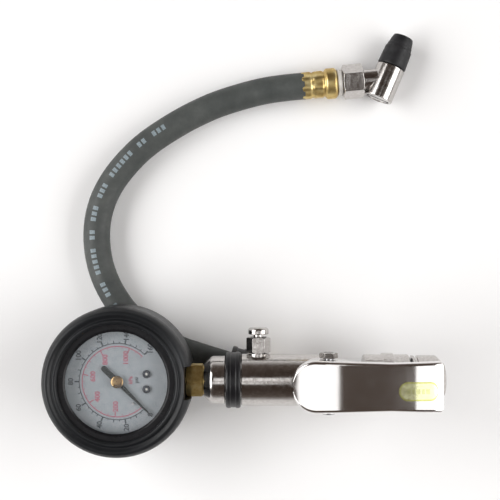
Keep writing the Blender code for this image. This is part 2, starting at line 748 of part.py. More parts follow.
def sector_gear():
    """The toothed sector on its own arbor, with a tail and a stud for the link."""
    teeth = PINION_TEETH * GEAR_RATIO
    step = math.tau / teeth
    outline = toothed(GEAR_R, teeth, -9, 1)
    rim_in = GEAR_R - 1.6 * MM
    outline += [(rim_in * math.cos(step * k), rim_in * math.sin(step * k)) for k in (1.4, -4, -9.4)]
    upright = Matrix.Translation((GEAR_CENTRE.x, GEAR_CENTRE.y, 0)) @ Matrix.Rotation(math.pi / 2, 4, "Z")
    gear = prism("sector_gear", outline, GEAR_Z, GEAR_Z + GEAR_T, upright, brass())
    centre = Vector((GEAR_CENTRE.x, GEAR_CENTRE.y, 0))
    mid = step * -4
    arm = Matrix.Translation(centre) @ Matrix.Rotation(math.pi / 2 + mid, 4, "Z")
    half = 1.1 * MM
    spoke = [(0, -half), (rim_in + 0.6 * MM, -2 * half), (rim_in + 0.6 * MM, 2 * half), (0, half)]
    tail = Matrix.Translation(centre) @ Matrix.Rotation(GEAR_TAIL_ANGLE, 4, "Z")
    stub = [(0, -half), (GEAR_TAIL + 1 * MM, -half * 0.8), (GEAR_TAIL + 1 * MM, half * 0.8), (0, half)]
    arbor_low = CASE_Z0 + PLATE_RISE[0] - 0.4 * MM
    arbor_high = CASE_Z0 + PLATE_RISE[1] + PLATE_T + 0.2 * MM
    stud_high = GEAR_Z + GEAR_T + GAP + LINK_T + 0.4 * MM
    parts = [
        prism("spoke", spoke, GEAR_Z, GEAR_Z + GEAR_T, arm),
        prism("stub", stub, GEAR_Z, GEAR_Z + GEAR_T, tail),
        rod("hub", 1.7 * MM, GEAR_Z, GEAR_Z + GEAR_T, centre, Z_AXIS, sides=16),
        rod("arbor", ARBOR_R, arbor_low, arbor_high, centre, Z_AXIS, sides=12),
        rod("stud", TAIL_PIN_R, GEAR_Z, stud_high, tail_stud(), Z_AXIS, sides=12),
    ]
    return join(gear, *parts)


def tail_stud():
    reach = Vector((math.cos(GEAR_TAIL_ANGLE), math.sin(GEAR_TAIL_ANGLE), 0)) * GEAR_TAIL
    return Vector((GEAR_CENTRE.x, GEAR_CENTRE.y, 0)) + reach


def link():
    """The strip between the sector's tail and the tube's tip, open at the tip."""
    stud = tail_stud()
    tip = GAUGE + Vector((TUBE_R * math.cos(TIP_PIN), TUBE_R * math.sin(TIP_PIN), 0))
    run = tip - stud
    half = 1.0 * MM
    low = GEAR_Z + GEAR_T + 2 * GAP
    place = Matrix.Translation(stud) @ Matrix.Rotation(math.atan2(run.y, run.x), 4, "Z")
    outline = arc(half * 1.4, math.pi * 1.5, math.pi * 0.5, 8)
    outline += [(run.length, half * 0.6), (run.length, -half * 0.6)]
    strip = prism("link", outline, low, low + LINK_T, place, brass())
    hole = rod("hole", TAIL_PIN_R + GAP, low - CUT_OVER, low + LINK_T + CUT_OVER, stud, Z_AXIS, sides=12)
    return cut(strip, hole)


def hairspring():
    """The flat spiral that takes up the gears' backlash."""
    turns, per_turn, half = 3, 18, 0.07 * MM
    start, end = ARBOR_R + 0.5 * MM, 4.2 * MM
    count = turns * per_turn

    def spiral(offset):
        reach = [start + (end - start) * k / count + offset for k in range(count + 1)]
        turns_at = [math.tau * k / per_turn for k in range(count + 1)]
        return [(r * math.cos(t), r * math.sin(t)) for r, t in zip(reach, turns_at, strict=True)]

    outline = spiral(half) + spiral(-half)[::-1]
    low = CASE_Z0 + PLATE_RISE[1] - 1.6 * MM
    return prism("hairspring", outline, low, low + 0.8 * MM, Matrix.Translation(GAUGE), brass())


def pointer():
    """The tapered pointer with its broad tail, its brass cap, and the stop pin at zero."""
    black = material("pointer_black", (0.01, 0.01, 0.012), 0.4, 0.0)
    low = DIAL_Z + POINTER_RISE
    place = Matrix.Translation(GAUGE) @ Matrix.Rotation(POINTER_ZERO, 4, "Z")
    broad, narrow, tip = 1.3 * MM, 0.85 * MM, 0.22 * MM
    eye = HUB_NECK_R + 1.1 * MM
    outline = [
        (POINTER_TIP, -tip),
        (POINTER_TIP, tip),
        (eye + 0.5 * MM, narrow),
        *arc(eye, math.radians(25), math.radians(150), 7),
        *arc(broad, math.pi / 2, math.pi * 1.5, 8, (-POINTER_TAIL + broad, 0)),
        *arc(eye, math.radians(210), math.radians(335), 7),
        (eye + 0.5 * MM, -narrow),
    ]
    needle = prism("pointer", outline, low, low + POINTER_T, place, black)
    cut(needle, rod("hole", HUB_NECK_R + GAP, low - CUT_OVER, low + 2 * CUT_OVER, GAUGE, Z_AXIS, sides=20))
    foot = DIAL_Z + 0.3 * MM
    cap_z = low + POINTER_T + GAP
    top = cap_z + 0.8 * MM
    hub = [
        (ARBOR_R + GAP, foot),
        (HUB_NECK_R, foot),
        (HUB_NECK_R, cap_z),
        (HUB_R, cap_z),
        (HUB_R, cap_z + 0.4 * MM),
        (HUB_R * 0.6, top),
        (0, top + 0.05 * MM),
        (0, top - 0.3 * MM),
        (ARBOR_R + GAP, top - 0.3 * MM),
    ]
    turned("pointer_hub", hub, GAUGE, Z_AXIS, brass(), 24)
    behind = POINTER_ZERO - math.radians(9)
    reach = 12.0 * MM
    at = GAUGE + Vector((reach * math.cos(behind), reach * math.sin(behind), 0))
    rod("pointer_stop", 0.5 * MM, DIAL_Z + GAP, low + POINTER_T + 0.4 * MM, at, Z_AXIS, steel(), 12)


# Body

BODY = Vector((0, 0, AXIS_Z))


def end_cap():
    """The chamfered adapter that the gauge's stem screws into."""
    band_face = BAND_X0 - GAP
    spigot_end = BARREL_X0 + CAP_SPIGOT
    stem_end = CAP_X0 + SOCKET_THREAD + GAP
    outline = [
        (SOCKET_THREAD_R + GAP, CAP_X0),
        (CAP_NOSE_R, CAP_X0),
        (CAP_R - 0.5 * MM, CAP_X0 + 3.2 * MM),
        (CAP_R, CAP_X0 + 4.1 * MM),
        (CAP_R, band_face - 0.4 * MM),
        (CAP_R - 0.4 * MM, band_face),
        (BARREL_BORE_R - GAP, band_face),
        (BARREL_BORE_R - GAP, spigot_end),
        (3.0 * MM, spigot_end),
        (3.0 * MM, stem_end),
        (SOCKET_THREAD_R + GAP, stem_end),
    ]
    return turned("end_cap", outline, BODY, X_AXIS, chrome(), 32)


def body_band():
    """The black ring between the end cap and the barrel."""
    band_end = BARREL_X0 - GAP
    edge = 0.8 * MM
    outline = [
        (BARREL_BORE_R, BAND_X0),
        (BAND_R - edge, BAND_X0),
        (BAND_R, BAND_X0 + edge),
        (BAND_R, band_end - edge),
        (BAND_R - edge, band_end),
        (BARREL_BORE_R, band_end),
    ]
    plastic = material("black_plastic", (0.015, 0.015, 0.017), 0.35, 0.0)
    return turned("body_band", outline, BODY, X_AXIS, plastic, 36)


def lug_half():
    """Half the width over the lugs, which run inside the lever's ears."""
    return lever_half(PIN_X + LUG_R) - LEVER_T - GAP


def ear_out():
    """How far out the lever's ears reach where the pin's head and nut sit."""
    return lever_half(PIN_X - NUT_ACROSS * 0.6) + GAP


def barrel():
    """The main tube, with the lever's two lugs, a boss for the bleed valve and one for the hose's elbow."""
    edge = 0.4 * MM
    outline = [
        (0, BARREL_X0),
        (BARREL_R - edge, BARREL_X0),
        (BARREL_R, BARREL_X0 + edge),
        (BARREL_R, BARREL_X1 - edge),
        (BARREL_R - edge, BARREL_X1),
        (0, BARREL_X1),
    ]
    tube = turned("barrel", outline, BODY, X_AXIS, chrome(), 28)
    base = PIN_Z - AXIS_Z - BARREL_BORE_R + 2 * MM
    side_on = Matrix.Translation((PIN_X, 0, PIN_Z)) @ Matrix.Rotation(math.pi / 2, 4, "X")
    lug_plan = arc(LUG_R, 0, math.pi, 10) + [(-LUG_R - 1.2 * MM, -base), (LUG_R * 0.9, -base)]
    lug = prism("lug", lug_plan, -lug_half(), lug_half(), side_on)
    bleed_at = Vector((BLEED_X, 0, AXIS_Z))
    root = BARREL_R * 0.6
    bleed_boss = rod("bleed_boss", BLEED_BOSS_R, root, BLEED_FOOT - GAP, bleed_at, Y_AXIS, sides=24)
    under = Vector((ELBOW_X, 0, AXIS_Z))
    port_r, port_foot = ELBOW_LEG_R + 1.8 * MM, BARREL_R + 1.2 * MM
    port_boss = rod("port_boss", port_r, root, port_foot, under, -Z_AXIS, sides=24)
    join(tube, lug, bleed_boss, port_boss)
    bore = rod("bore", BARREL_BORE_R, BARREL_X0 - CUT_OVER, BARREL_X1 + CUT_OVER, BODY, X_AXIS, sides=24)
    across = BARREL_R + CUT_OVER
    pin = rod("pin", PIN_R + GAP, -across, across, Vector((PIN_X, 0, PIN_Z)), Y_AXIS, sides=20)
    slot = box(
        "slot",
        (PIN_X - 3 * LUG_R, -LUG_SLOT, AXIS_Z + BARREL_R + 0.8 * MM),
        (PIN_X + 3 * LUG_R, LUG_SLOT, PIN_Z + 2 * LUG_R),
    )
    bleed = rod("bleed", BLEED_SPIGOT_R + GAP, 0, BLEED_FOOT + CUT_OVER, bleed_at, Y_AXIS, sides=20)
    port = rod("port", ELBOW_LEG_R + GAP, 0, BARREL_R + 3 * MM, under, -Z_AXIS, sides=24)
    return cut(tube, bore, pin, slot, bleed, port)


def bleed_valve():
    """The press-to-bleed valve: hexagon body, button on a stem, spring and seal."""
    at = Vector((BLEED_X, 0, AXIS_Z))
    hex_top = BLEED_FOOT + BLEED_HEX
    body = hex_nut("bleed_body", BLEED_ACROSS, BLEED_FOOT, hex_top, at, Y_AXIS, chrome())
    spigot_low = BLEED_FOOT - BLEED_SPIGOT
    join(body, rod("spigot", BLEED_SPIGOT_R, spigot_low, BLEED_FOOT + 1 * MM, at, Y_AXIS, sides=20))
    bore = rod("bore", BLEED_STEM_R + GAP, 0, hex_top + CUT_OVER, at, Y_AXIS, sides=16)
    pocket = rod("pocket", BLEED_POCKET_R, hex_top - BLEED_POCKET, hex_top + CUT_OVER, at, Y_AXIS, sides=20)
    cut(body, bore, pocket)
    cap_low = hex_top + BLEED_LIFT
    cap_high = cap_low + BLEED_CAP_T
    inner = BLEED_FOOT - BLEED_SPIGOT
    neck_low = hex_top - BLEED_POCKET + BLEED_TRAVEL + 0.5 * MM
    button = [
        (0, inner - 2.0 * MM),
        (BLEED_STEM_R * 0.7, inner - 2.0 * MM),
        (BLEED_STEM_R * 0.7, inner),
        (BLEED_STEM_R, inner),
        (BLEED_STEM_R, neck_low),
        (BLEED_NECK_R, neck_low),
        (BLEED_NECK_R, cap_low),
        (BLEED_CAP_R - 0.4 * MM, cap_low),
        (BLEED_CAP_R, cap_low + 0.4 * MM),
        (BLEED_CAP_R, cap_high - 0.7 * MM),
        (BLEED_CAP_R - 0.7 * MM, cap_high),
        (0, cap_high),
    ]
    turned("bleed_button", button, at, Y_AXIS, chrome(), 24)
    seal_in, seal_low = BLEED_STEM_R * 0.7 + GAP, inner - 1.6 * MM
    ring("bleed_seal", seal_in, 2.6 * MM, seal_low, inner - GAP, at, Y_AXIS, seal_rubber(), 20)
    coil_low, coil_high = hex_top - BLEED_POCKET + GAP, cap_low - BLEED_TRAVEL - GAP
    spring("bleed_spring", 3.0 * MM, 0.3 * MM, coil_low, coil_high, 4, at, Y_AXIS)


def valve_housing():
    """The right-hand body: neck into the barrel, ribbed middle, tail into the inlet, bored valve tower."""
    neck_x = BARREL_X1 - NECK_DEPTH
    rib0 = STEM_X - HOUSING_RIB / 2
    rib1 = STEM_X + HOUSING_RIB / 2
    neck_r = BARREL_BORE_R - GAP
    edge = 0.6 * MM
    outline = [
        (0, neck_x),
        (neck_r, neck_x),
        (neck_r, HOUSING_X0),
        (HOUSING_R - edge, HOUSING_X0),
        (HOUSING_R, HOUSING_X0 + edge),
        (HOUSING_R, rib0),
        (HOUSING_RIB_R, rib0 + edge),
        (HOUSING_RIB_R, rib1 - edge),
        (HOUSING_R, rib1),
        (HOUSING_R, HOUSING_X1 - edge),
        (HOUSING_R - edge, HOUSING_X1),
        (TAIL_R, HOUSING_X1),
        (TAIL_R, HOUSING_X1 + TAIL_LENGTH),
        (0, HOUSING_X1 + TAIL_LENGTH),
    ]
    housing = turned("valve_housing", outline, BODY, X_AXIS, chrome(), 32)
    at = Vector((STEM_X, 0, AXIS_Z))
    upper = rod("upper", BOSS_R, 0, BOSS_RISE, at, Z_AXIS, sides=24)
    lower = rod("lower", LOWER_BOSS_R, 0, LOWER_BOSS_DROP, at, -Z_AXIS, sides=24)
    join(housing, upper, lower)
    blind = rod("blind", NECK_BORE_R, neck_x - CUT_OVER, HOUSING_X0 + 2 * MM, BODY, X_AXIS, sides=24)
    tail_bore_x = STEM_X + CHAMBER_R - 1.0 * MM
    tail_end = HOUSING_X1 + TAIL_LENGTH + CUT_OVER
    inlet = rod("inlet", NECK_BORE_R, tail_bore_x, tail_end, BODY - Z_AXIS * 1.0 * MM, X_AXIS)
    passage_z = BODY + Z_AXIS * (NECK_BORE_R - PASSAGE_R + 0.2 * MM)
    passage = rod("passage", PASSAGE_R, HOUSING_X0 + 1 * MM, STEM_X, passage_z, X_AXIS, sides=12)
    chamber = rod("chamber", CHAMBER_R, -LOWER_BOSS_DROP - CUT_OVER, SEAT_RISE, at, Z_AXIS, sides=24)
    seat = rod("seat", SEAT_R, 0, SEAT_RISE + SEAT_LAND, at, Z_AXIS, sides=20)
    guide = rod("guide", STEM_R + GAP, 0, BOSS_RISE + CUT_OVER, at, Z_AXIS, sides=20)
    pocket_low = BOSS_RISE - GLAND_SPIGOT - 2.0 * MM
    pocket = rod("pocket", GLAND_SEAT_R, pocket_low, BOSS_RISE + CUT_OVER, at, Z_AXIS, sides=24)
    return cut(housing, blind, inlet, passage, chamber, seat, guide, pocket)


def valve_pieces():
    """Stem, poppet, spring, gland, seals and plug, all on the tower's axis."""
    at = Vector((STEM_X, 0, 0))
    stem_in = STEM_R + GAP
    top = lever_top(STEM_X) - LEVER_T - GAP
    flange_high = SEAT_Z - 2 * GAP - POPPET_T
    flange_low = flange_high - STEM_FLANGE_T
    stem = [
        (0, flange_low),
        (POPPET_R - 0.4 * MM, flange_low),
        (POPPET_R - 0.4 * MM, flange_high),
        (STEM_R, flange_high),
        (STEM_R, top - 0.8 * MM),
        (STEM_R - 0.7 * MM, top),
        (0, top),
    ]
    turned("valve_stem", stem, at, Z_AXIS, steel(), 20)
    ring("valve_poppet", stem_in, POPPET_R, flange_high + GAP, SEAT_Z - GAP, at, Z_AXIS, seal_rubber(), 24)
    boss_top = AXIS_Z + BOSS_RISE
    seal_low = boss_top - GLAND_SPIGOT - 2.0 * MM + GAP
    seal_high = boss_top - GLAND_SPIGOT - GAP
    o_ring("stem_seal", stem_in - 0.1 * MM, GLAND_SEAT_R - GAP, seal_low, seal_high, at, Z_AXIS)
    gland = [
        (stem_in, boss_top - GLAND_SPIGOT),
        (GLAND_SEAT_R - GAP, boss_top - GLAND_SPIGOT),
        (GLAND_SEAT_R - GAP, boss_top + GAP),
        (GLAND_R, boss_top + GAP),
        (GLAND_R, boss_top + GLAND_T),
        (stem_in, boss_top + GLAND_T),
    ]
    turned("stem_gland", gland, at, Z_AXIS, brass(), 24)
    boss_low = AXIS_Z - LOWER_BOSS_DROP
    head_high = boss_low - SEAL_T - 2 * GAP
    spigot_r = CHAMBER_R - GAP
    plug = hex_nut("valve_plug", PLUG_ACROSS, head_high - PLUG_HEAD, head_high, at, Z_AXIS, chrome())
    join(plug, rod("spigot", spigot_r, head_high - 1 * MM, boss_low + PLUG_SPIGOT, at, Z_AXIS, sides=24))
    seal_out = LOWER_BOSS_R - 0.4 * MM
    o_ring("plug_seal", spigot_r + GAP, seal_out, head_high + GAP, boss_low - GAP, at, Z_AXIS)
    coil_low = boss_low + PLUG_SPIGOT + GAP
    spring("valve_spring", 3.6 * MM, 0.45 * MM, coil_low, flange_low - GAP, 5, at, Z_AXIS)


def inlet():
    """The inlet bushing with a grooved collar and tapered end, its seal and its dirt screen."""
    tail_end = HOUSING_X1 + TAIL_LENGTH
    port_x = INLET_X1 - INLET_PORT_DEPTH
    taper_x = INLET_X1 - INLET_TAPER
    groove = 0.9 * MM
    outline = [
        (TAIL_R + GAP, INLET_X0),
        (INLET_R, INLET_X0),
        (INLET_R, INLET_X0 + 1.0 * MM),
        (INLET_R - groove, INLET_X0 + 1.3 * MM),
        (INLET_R - groove, INLET_X0 + 2.3 * MM),
        (INLET_R, INLET_X0 + 2.6 * MM),
        (INLET_R, taper_x),
        (INLET_END_R, INLET_X1),
        (INLET_PORT_R, INLET_X1),
        (INLET_PORT_R, port_x),
        (NECK_BORE_R, port_x),
        (NECK_BORE_R, tail_end + GAP),
        (TAIL_R + GAP, tail_end + GAP),
    ]
    turned("inlet_bushing", outline, BODY, X_AXIS, chrome(), 32)
    seal_low, seal_high = HOUSING_X1 + GAP, INLET_X0 - GAP
    o_ring("inlet_seal", TAIL_R + GAP, HOUSING_R - 1.6 * MM, seal_low, seal_high, BODY, X_AXIS)
    screen_x = port_x + GAP
    screen_end = screen_x + SCREEN_T
    screen = rod("inlet_screen", INLET_PORT_R - GAP, screen_x, screen_end, BODY, X_AXIS, steel(), 24)
    through = (screen_x - CUT_OVER, screen_end + CUT_OVER)
    holes = [rod("hole", 0.9 * MM, *through, BODY, X_AXIS, sides=8)]
    for k in range(6):
        turn = math.tau * k / 6
        at = BODY + Vector((0, math.cos(turn), math.sin(turn))) * 3.1 * MM
        holes.append(rod(f"hole{k}", 0.9 * MM, *through, at, X_AXIS, sides=8))
    cut(screen, *holes)


def lever_top(x):
    """The height of the lever plate's top at x: level in the middle, falling away at both ends."""
    back, front = PIN_X + LEVER_FLAT[0], PIN_X + LEVER_FLAT[1]
    start = PIN_X - LEVER_BEHIND
    end = start + LEVER_LENGTH
    if x < back:
        return LEVER_Z - LEVER_BACK_FALL * ((back - x) / (back - start)) ** 2
    if x > front:
        return LEVER_Z - LEVER_FRONT_FALL * ((x - front) / (end - front)) ** 2
    return LEVER_Z


def lever_half(x):
    """Half the lever's width at x: waisted, with round corners at the back and small ones at the front."""
    start = PIN_X - LEVER_BEHIND
    end = start + LEVER_LENGTH
    share = (x - start) / LEVER_LENGTH
    waist = LEVER_BACK_HALF + (LEVER_WAIST_HALF - LEVER_BACK_HALF) * min(1, share / 0.65)
    flare = (LEVER_FRONT_HALF - LEVER_WAIST_HALF) * max(0, share - 0.65) / 0.35
    half = waist + flare
    for near, corner in ((x - start, LEVER_CORNER), (end - x, LEVER_FRONT_CORNER)):
        if near < corner:
            half -= corner - math.sqrt(max(0, corner**2 - (corner - near) ** 2))
    return half


def lever_skirt(x):
    """How far the turned-down edge hangs below the plate's top, with an ear at the pin."""
    ear = lever_top(PIN_X) - PIN_Z + LEVER_EAR
    away = max(0, abs(x - PIN_X) - LEVER_EAR) / (1.6 * LEVER_EAR)
    bump = 0.5 + 0.5 * math.cos(math.pi * min(1, away))
    return LEVER_SKIRT + (ear - LEVER_SKIRT) * bump


def lever_section(x):
    """A channel section at x, as (y, z) points round its outside and back along its inside."""
    half, top = lever_half(x), lever_top(x)
    foot = top - lever_skirt(x)
    bend = min(LEVER_BEND_R, half * 0.5)

    def side(width, height, radius):
        curve = [(width - radius + radius * math.sin(t), height - radius + radius * math.cos(t))
                 for t in (math.pi / 6 * k for k in range(4))]
        return curve + [(width, foot)]

    outer = side(half, top, bend)
    inner = side(half - LEVER_T, top - LEVER_T, max(bend - LEVER_T, 0.3 * MM))
    mirror = [(-y, z) for y, z in outer]
    inner_mirror = [(-y, z) for y, z in inner]
    return mirror[::-1] + outer + inner[::-1] + inner_mirror


def lever():
    """The pressed lever: a channel that sweeps along X, with a hole through both ears."""
    start = PIN_X - LEVER_BEHIND
    end = start + LEVER_LENGTH
    corner_steps = 5
    turns = [math.pi / 2 * (k + 0.6) / corner_steps for k in range(corner_steps)]
    near = [start + LEVER_CORNER * (1 - math.cos(turn)) for turn in turns]
    first = near[-1]
    rest = [first + (end - first) * (k + 1) / LEVER_STATIONS for k in range(LEVER_STATIONS)]
    tail = [end - LEVER_CORNER * 0.2, end - LEVER_CORNER * 0.07, end]
    stations = near + [x for x in rest if x < end - LEVER_CORNER * 0.25] + tail
    bm = bmesh.new()
    loops = []
    for x in stations:
        loops.append([bm.verts.new((x, y, z)) for y, z in lever_section(x)])
    count = len(loops[0])
    bm.faces.new(loops[0])
    bm.faces.new(loops[-1])
    for one, two in zip(loops, loops[1:], strict=False):
        for i in range(count):
            j = (i + 1) % count
            bm.faces.new((one[i], one[j], two[j], two[i]))
    plate = object_from("lever", bm, Matrix.Identity(4), chrome())
    pin = Vector((PIN_X, 0, PIN_Z))
    reach = LEVER_BACK_HALF + CUT_OVER
    cut(plate, rod("hole", PIN_R + GAP, -reach, reach, pin, Y_AXIS, sides=20))
    to_pin = Matrix.Translation(-pin)
    plate.data.transform(to_pin)
    plate.matrix_world = Matrix.Translation(pin)
    return plate


def lever_pin():
    """The pivot pin with its head at -Y and its nut at +Y."""
    at = Vector((PIN_X, 0, PIN_Z))
    outside = ear_out()
    pin = [
        (0, -outside - PIN_HEAD_T),
        (PIN_HEAD_R - 0.4 * MM, -outside - PIN_HEAD_T),
        (PIN_HEAD_R, -outside - PIN_HEAD_T * 0.6),
        (PIN_HEAD_R, -outside),
        (PIN_R, -outside),
        (PIN_R, outside + NUT_T - 0.6 * MM),
        (PIN_R - 0.4 * MM, outside + NUT_T - 0.2 * MM),
        (0, outside + NUT_T - 0.2 * MM),
    ]
    turned("lever_pin", pin, at, Y_AXIS, steel(), 20)
    nut = hex_nut("lever_nut", NUT_ACROSS, outside, outside + NUT_T, at, Y_AXIS, chrome())
    cut(nut, rod("hole", PIN_R + GAP, outside - CUT_OVER, outside + NUT_T + CUT_OVER, at, Y_AXIS, sides=20))


# Hose, its fitting under the body and its chuck


def hose_elbow():
    """The elbow: a leg up into the barrel and a barb towards the hose, bored through."""
    foot_z = FITTING_Z - ELBOW_R
    leg_top = AXIS_Z - BARREL_BORE_R - 0.4 * MM
    shoulder_z = AXIS_Z - BARREL_R - 1.2 * MM - GAP
    upright = Vector((ELBOW_X, 0, 0))
    elbow_outline = [
        (0, foot_z),
        (ELBOW_R - 1.2 * MM, foot_z),
        (ELBOW_R, foot_z + 1.2 * MM),
        (ELBOW_R, shoulder_z),
        (ELBOW_LEG_R, shoulder_z),
        (ELBOW_LEG_R, leg_top),
        (0, leg_top),
    ]
    elbow = turned("hose_elbow", elbow_outline, upright, Z_AXIS, brass(), 28)
    barb_end = COLLAR_REACH - 0.6 * MM
    barb = [
        (0, 0),
        (ELBOW_R - 0.6 * MM, 0),
        (ELBOW_R - 0.6 * MM, ELBOW_SHOULDER),
        (BARB_R, ELBOW_SHOULDER),
        (BARB_R, barb_end - 3.6 * MM),
        (BARB_R + 0.7 * MM, barb_end - 3.6 * MM),
        (BARB_R - 0.2 * MM, barb_end),
        (0, barb_end),
    ]
    join(elbow, turned("barb", barb, FITTING, HOSE_OUT, sides=24))
    across = rod("across", BARB_BORE_R, 0, barb_end + CUT_OVER, FITTING, HOSE_OUT, sides=16)
    up = rod("up", BARB_BORE_R, FITTING_Z, leg_top + CUT_OVER, upright, Z_AXIS, sides=16)
    join(across, up)
    return cut(elbow, across)


def hose_collar():
    """The black cup that covers the end of the hose."""
    floor = ELBOW_SHOULDER + GAP
    edge = 0.7 * MM
    outline = [
        (BARB_R + GAP, floor),
        (COLLAR_R - edge, floor),
        (COLLAR_R, floor + edge),
        (COLLAR_R, COLLAR_REACH - edge),
        (COLLAR_R - edge, COLLAR_REACH),
        (HOSE_R + GAP, COLLAR_REACH),
        (HOSE_R + GAP, floor + COLLAR_FLOOR),
        (BARB_R + GAP, floor + COLLAR_FLOOR),
    ]
    plastic = material("black_plastic", (0.015, 0.015, 0.017), 0.35, 0.0)
    return turned("hose_collar", outline, FITTING, HOSE_OUT, plastic, 28)


def smooth_route(knots, step):
    """Points a step apart along the smooth curve through the given ones."""
    padded = [2 * knots[0] - knots[1], *knots, 2 * knots[-1] - knots[-2]]
    fine = []
    for a, b, c, d in zip(padded, padded[1:], padded[2:], padded[3:], strict=False):
        for k in range(16):
            t = k / 16
            fine.append(
                b
                + 0.5 * (c - a) * t
                + 0.5 * (2 * a - 5 * b + 4 * c - d) * t**2
                + 0.5 * (3 * b - a - 3 * c + d) * t**3
            )
    fine.append(knots[-1])
    lengths = [0.0]
    for one, two in zip(fine, fine[1:], strict=False):
        lengths.append(lengths[-1] + (two - one).length)
    count = round(lengths[-1] / step)
    picked = []
    for k in range(count + 1):
        wanted = lengths[-1] * k / count
        i = min(range(len(lengths)), key=lambda n: abs(lengths[n] - wanted))
        picked.append(fine[i])
    return picked


def hose():
    """The rubber hose as a plain tube along its route."""
    curve = bpy.data.curves.new("hose", "CURVE")
    curve.dimensions = "3D"
    curve.bevel_depth = HOSE_R
    curve.bevel_resolution = 4
    curve.use_fill_caps = True
    start = FITTING + HOSE_OUT * (COLLAR_REACH + GAP)
    end = FERRULE_MOUTH - FERRULE_OUT * 3 * GAP
    between = [Vector((x, y, lift)) * MM + Z_AXIS * HOSE_Z for x, y, lift in HOSE_ROUTE]
    points = smooth_route([start, *between, end], HOSE_STEP)
    spline = curve.splines.new("POLY")
    spline.points.add(len(points) - 1)
    for target, point in zip(spline.points, points, strict=True):
        target.co = (*point, 1)
    curve.materials.append(material("hose_rubber", (0.12, 0.12, 0.12), 0.6, 0.0))
    obj = bpy.data.objects.new("hose", curve)
    bpy.context.scene.collection.objects.link(obj)
    return obj


def chuck_line():
    """Ferrule, insert, washer and swivel nut along the hose's end."""
    at, out = FERRULE_MOUTH, FERRULE_OUT
    crimp = 0.55 * MM
    bead_s = FERRULE_LENGTH - 5.6 * MM
    lobe = bead_s / 2
    shell = [(FERRULE_BORE_R, 0), (FERRULE_R - crimp, 0)]
    for low in (0, lobe):
        shell += [
            (FERRULE_R, low + 0.8 * MM),
            (FERRULE_R, low + lobe - 1.3 * MM),
            (FERRULE_R - crimp, low + lobe - 0.4 * MM),
        ]
    shell += [
        (FERRULE_BEAD_R, bead_s + 0.8 * MM),
        (FERRULE_BEAD_R, FERRULE_LENGTH - 0.8 * MM),
        (FERRULE_BEAD_R - 0.6 * MM, FERRULE_LENGTH),
        (BARB_R + GAP, FERRULE_LENGTH),
        (BARB_R + GAP, FERRULE_LENGTH - 2 * MM),
        (FERRULE_BORE_R, FERRULE_LENGTH - 2 * MM),
    ]
    turned("ferrule", shell, at, out, brass(), 24)
    flange_s = NUT_S + NUT_WALL + GAP
    insert = [
        (BARB_BORE_R, 1.0 * MM),
        (BARB_R - 0.4 * MM, 1.0 * MM),
        (BARB_R, 3.0 * MM),
        (BARB_R, flange_s),
        (NECK_THREAD_R, flange_s),
        (NECK_THREAD_R, flange_s + INSERT_FLANGE_T),
        (BARB_BORE_R, flange_s + INSERT_FLANGE_T),
    ]
    turned("ferrule_insert", insert, at, out, brass(), 24)
    pale = material("pale_nylon", (0.72, 0.7, 0.66), 0.5, 0.0)
    ring("swivel_washer", BARB_R + GAP, WASHER_R, WASHER_S, WASHER_S + WASHER_T, at, out, pale, 28)
    nut = hex_nut("swivel_nut", NUT_FLATS, NUT_S, NUT_S + NUT_LENGTH, at, out, chrome(), spin=NUT_SPIN)
    nut_end = NUT_S + NUT_LENGTH + CUT_OVER
    bore = rod("bore", NECK_THREAD_R + GAP, NUT_S + NUT_WALL, nut_end, at, out, sides=24)
    back = rod("back", BARB_R + GAP, NUT_S - CUT_OVER, NUT_S + NUT_WALL + CUT_OVER, at, out, sides=24)
    cut(nut, bore, back)
    return flange_s + INSERT_FLANGE_T + GAP


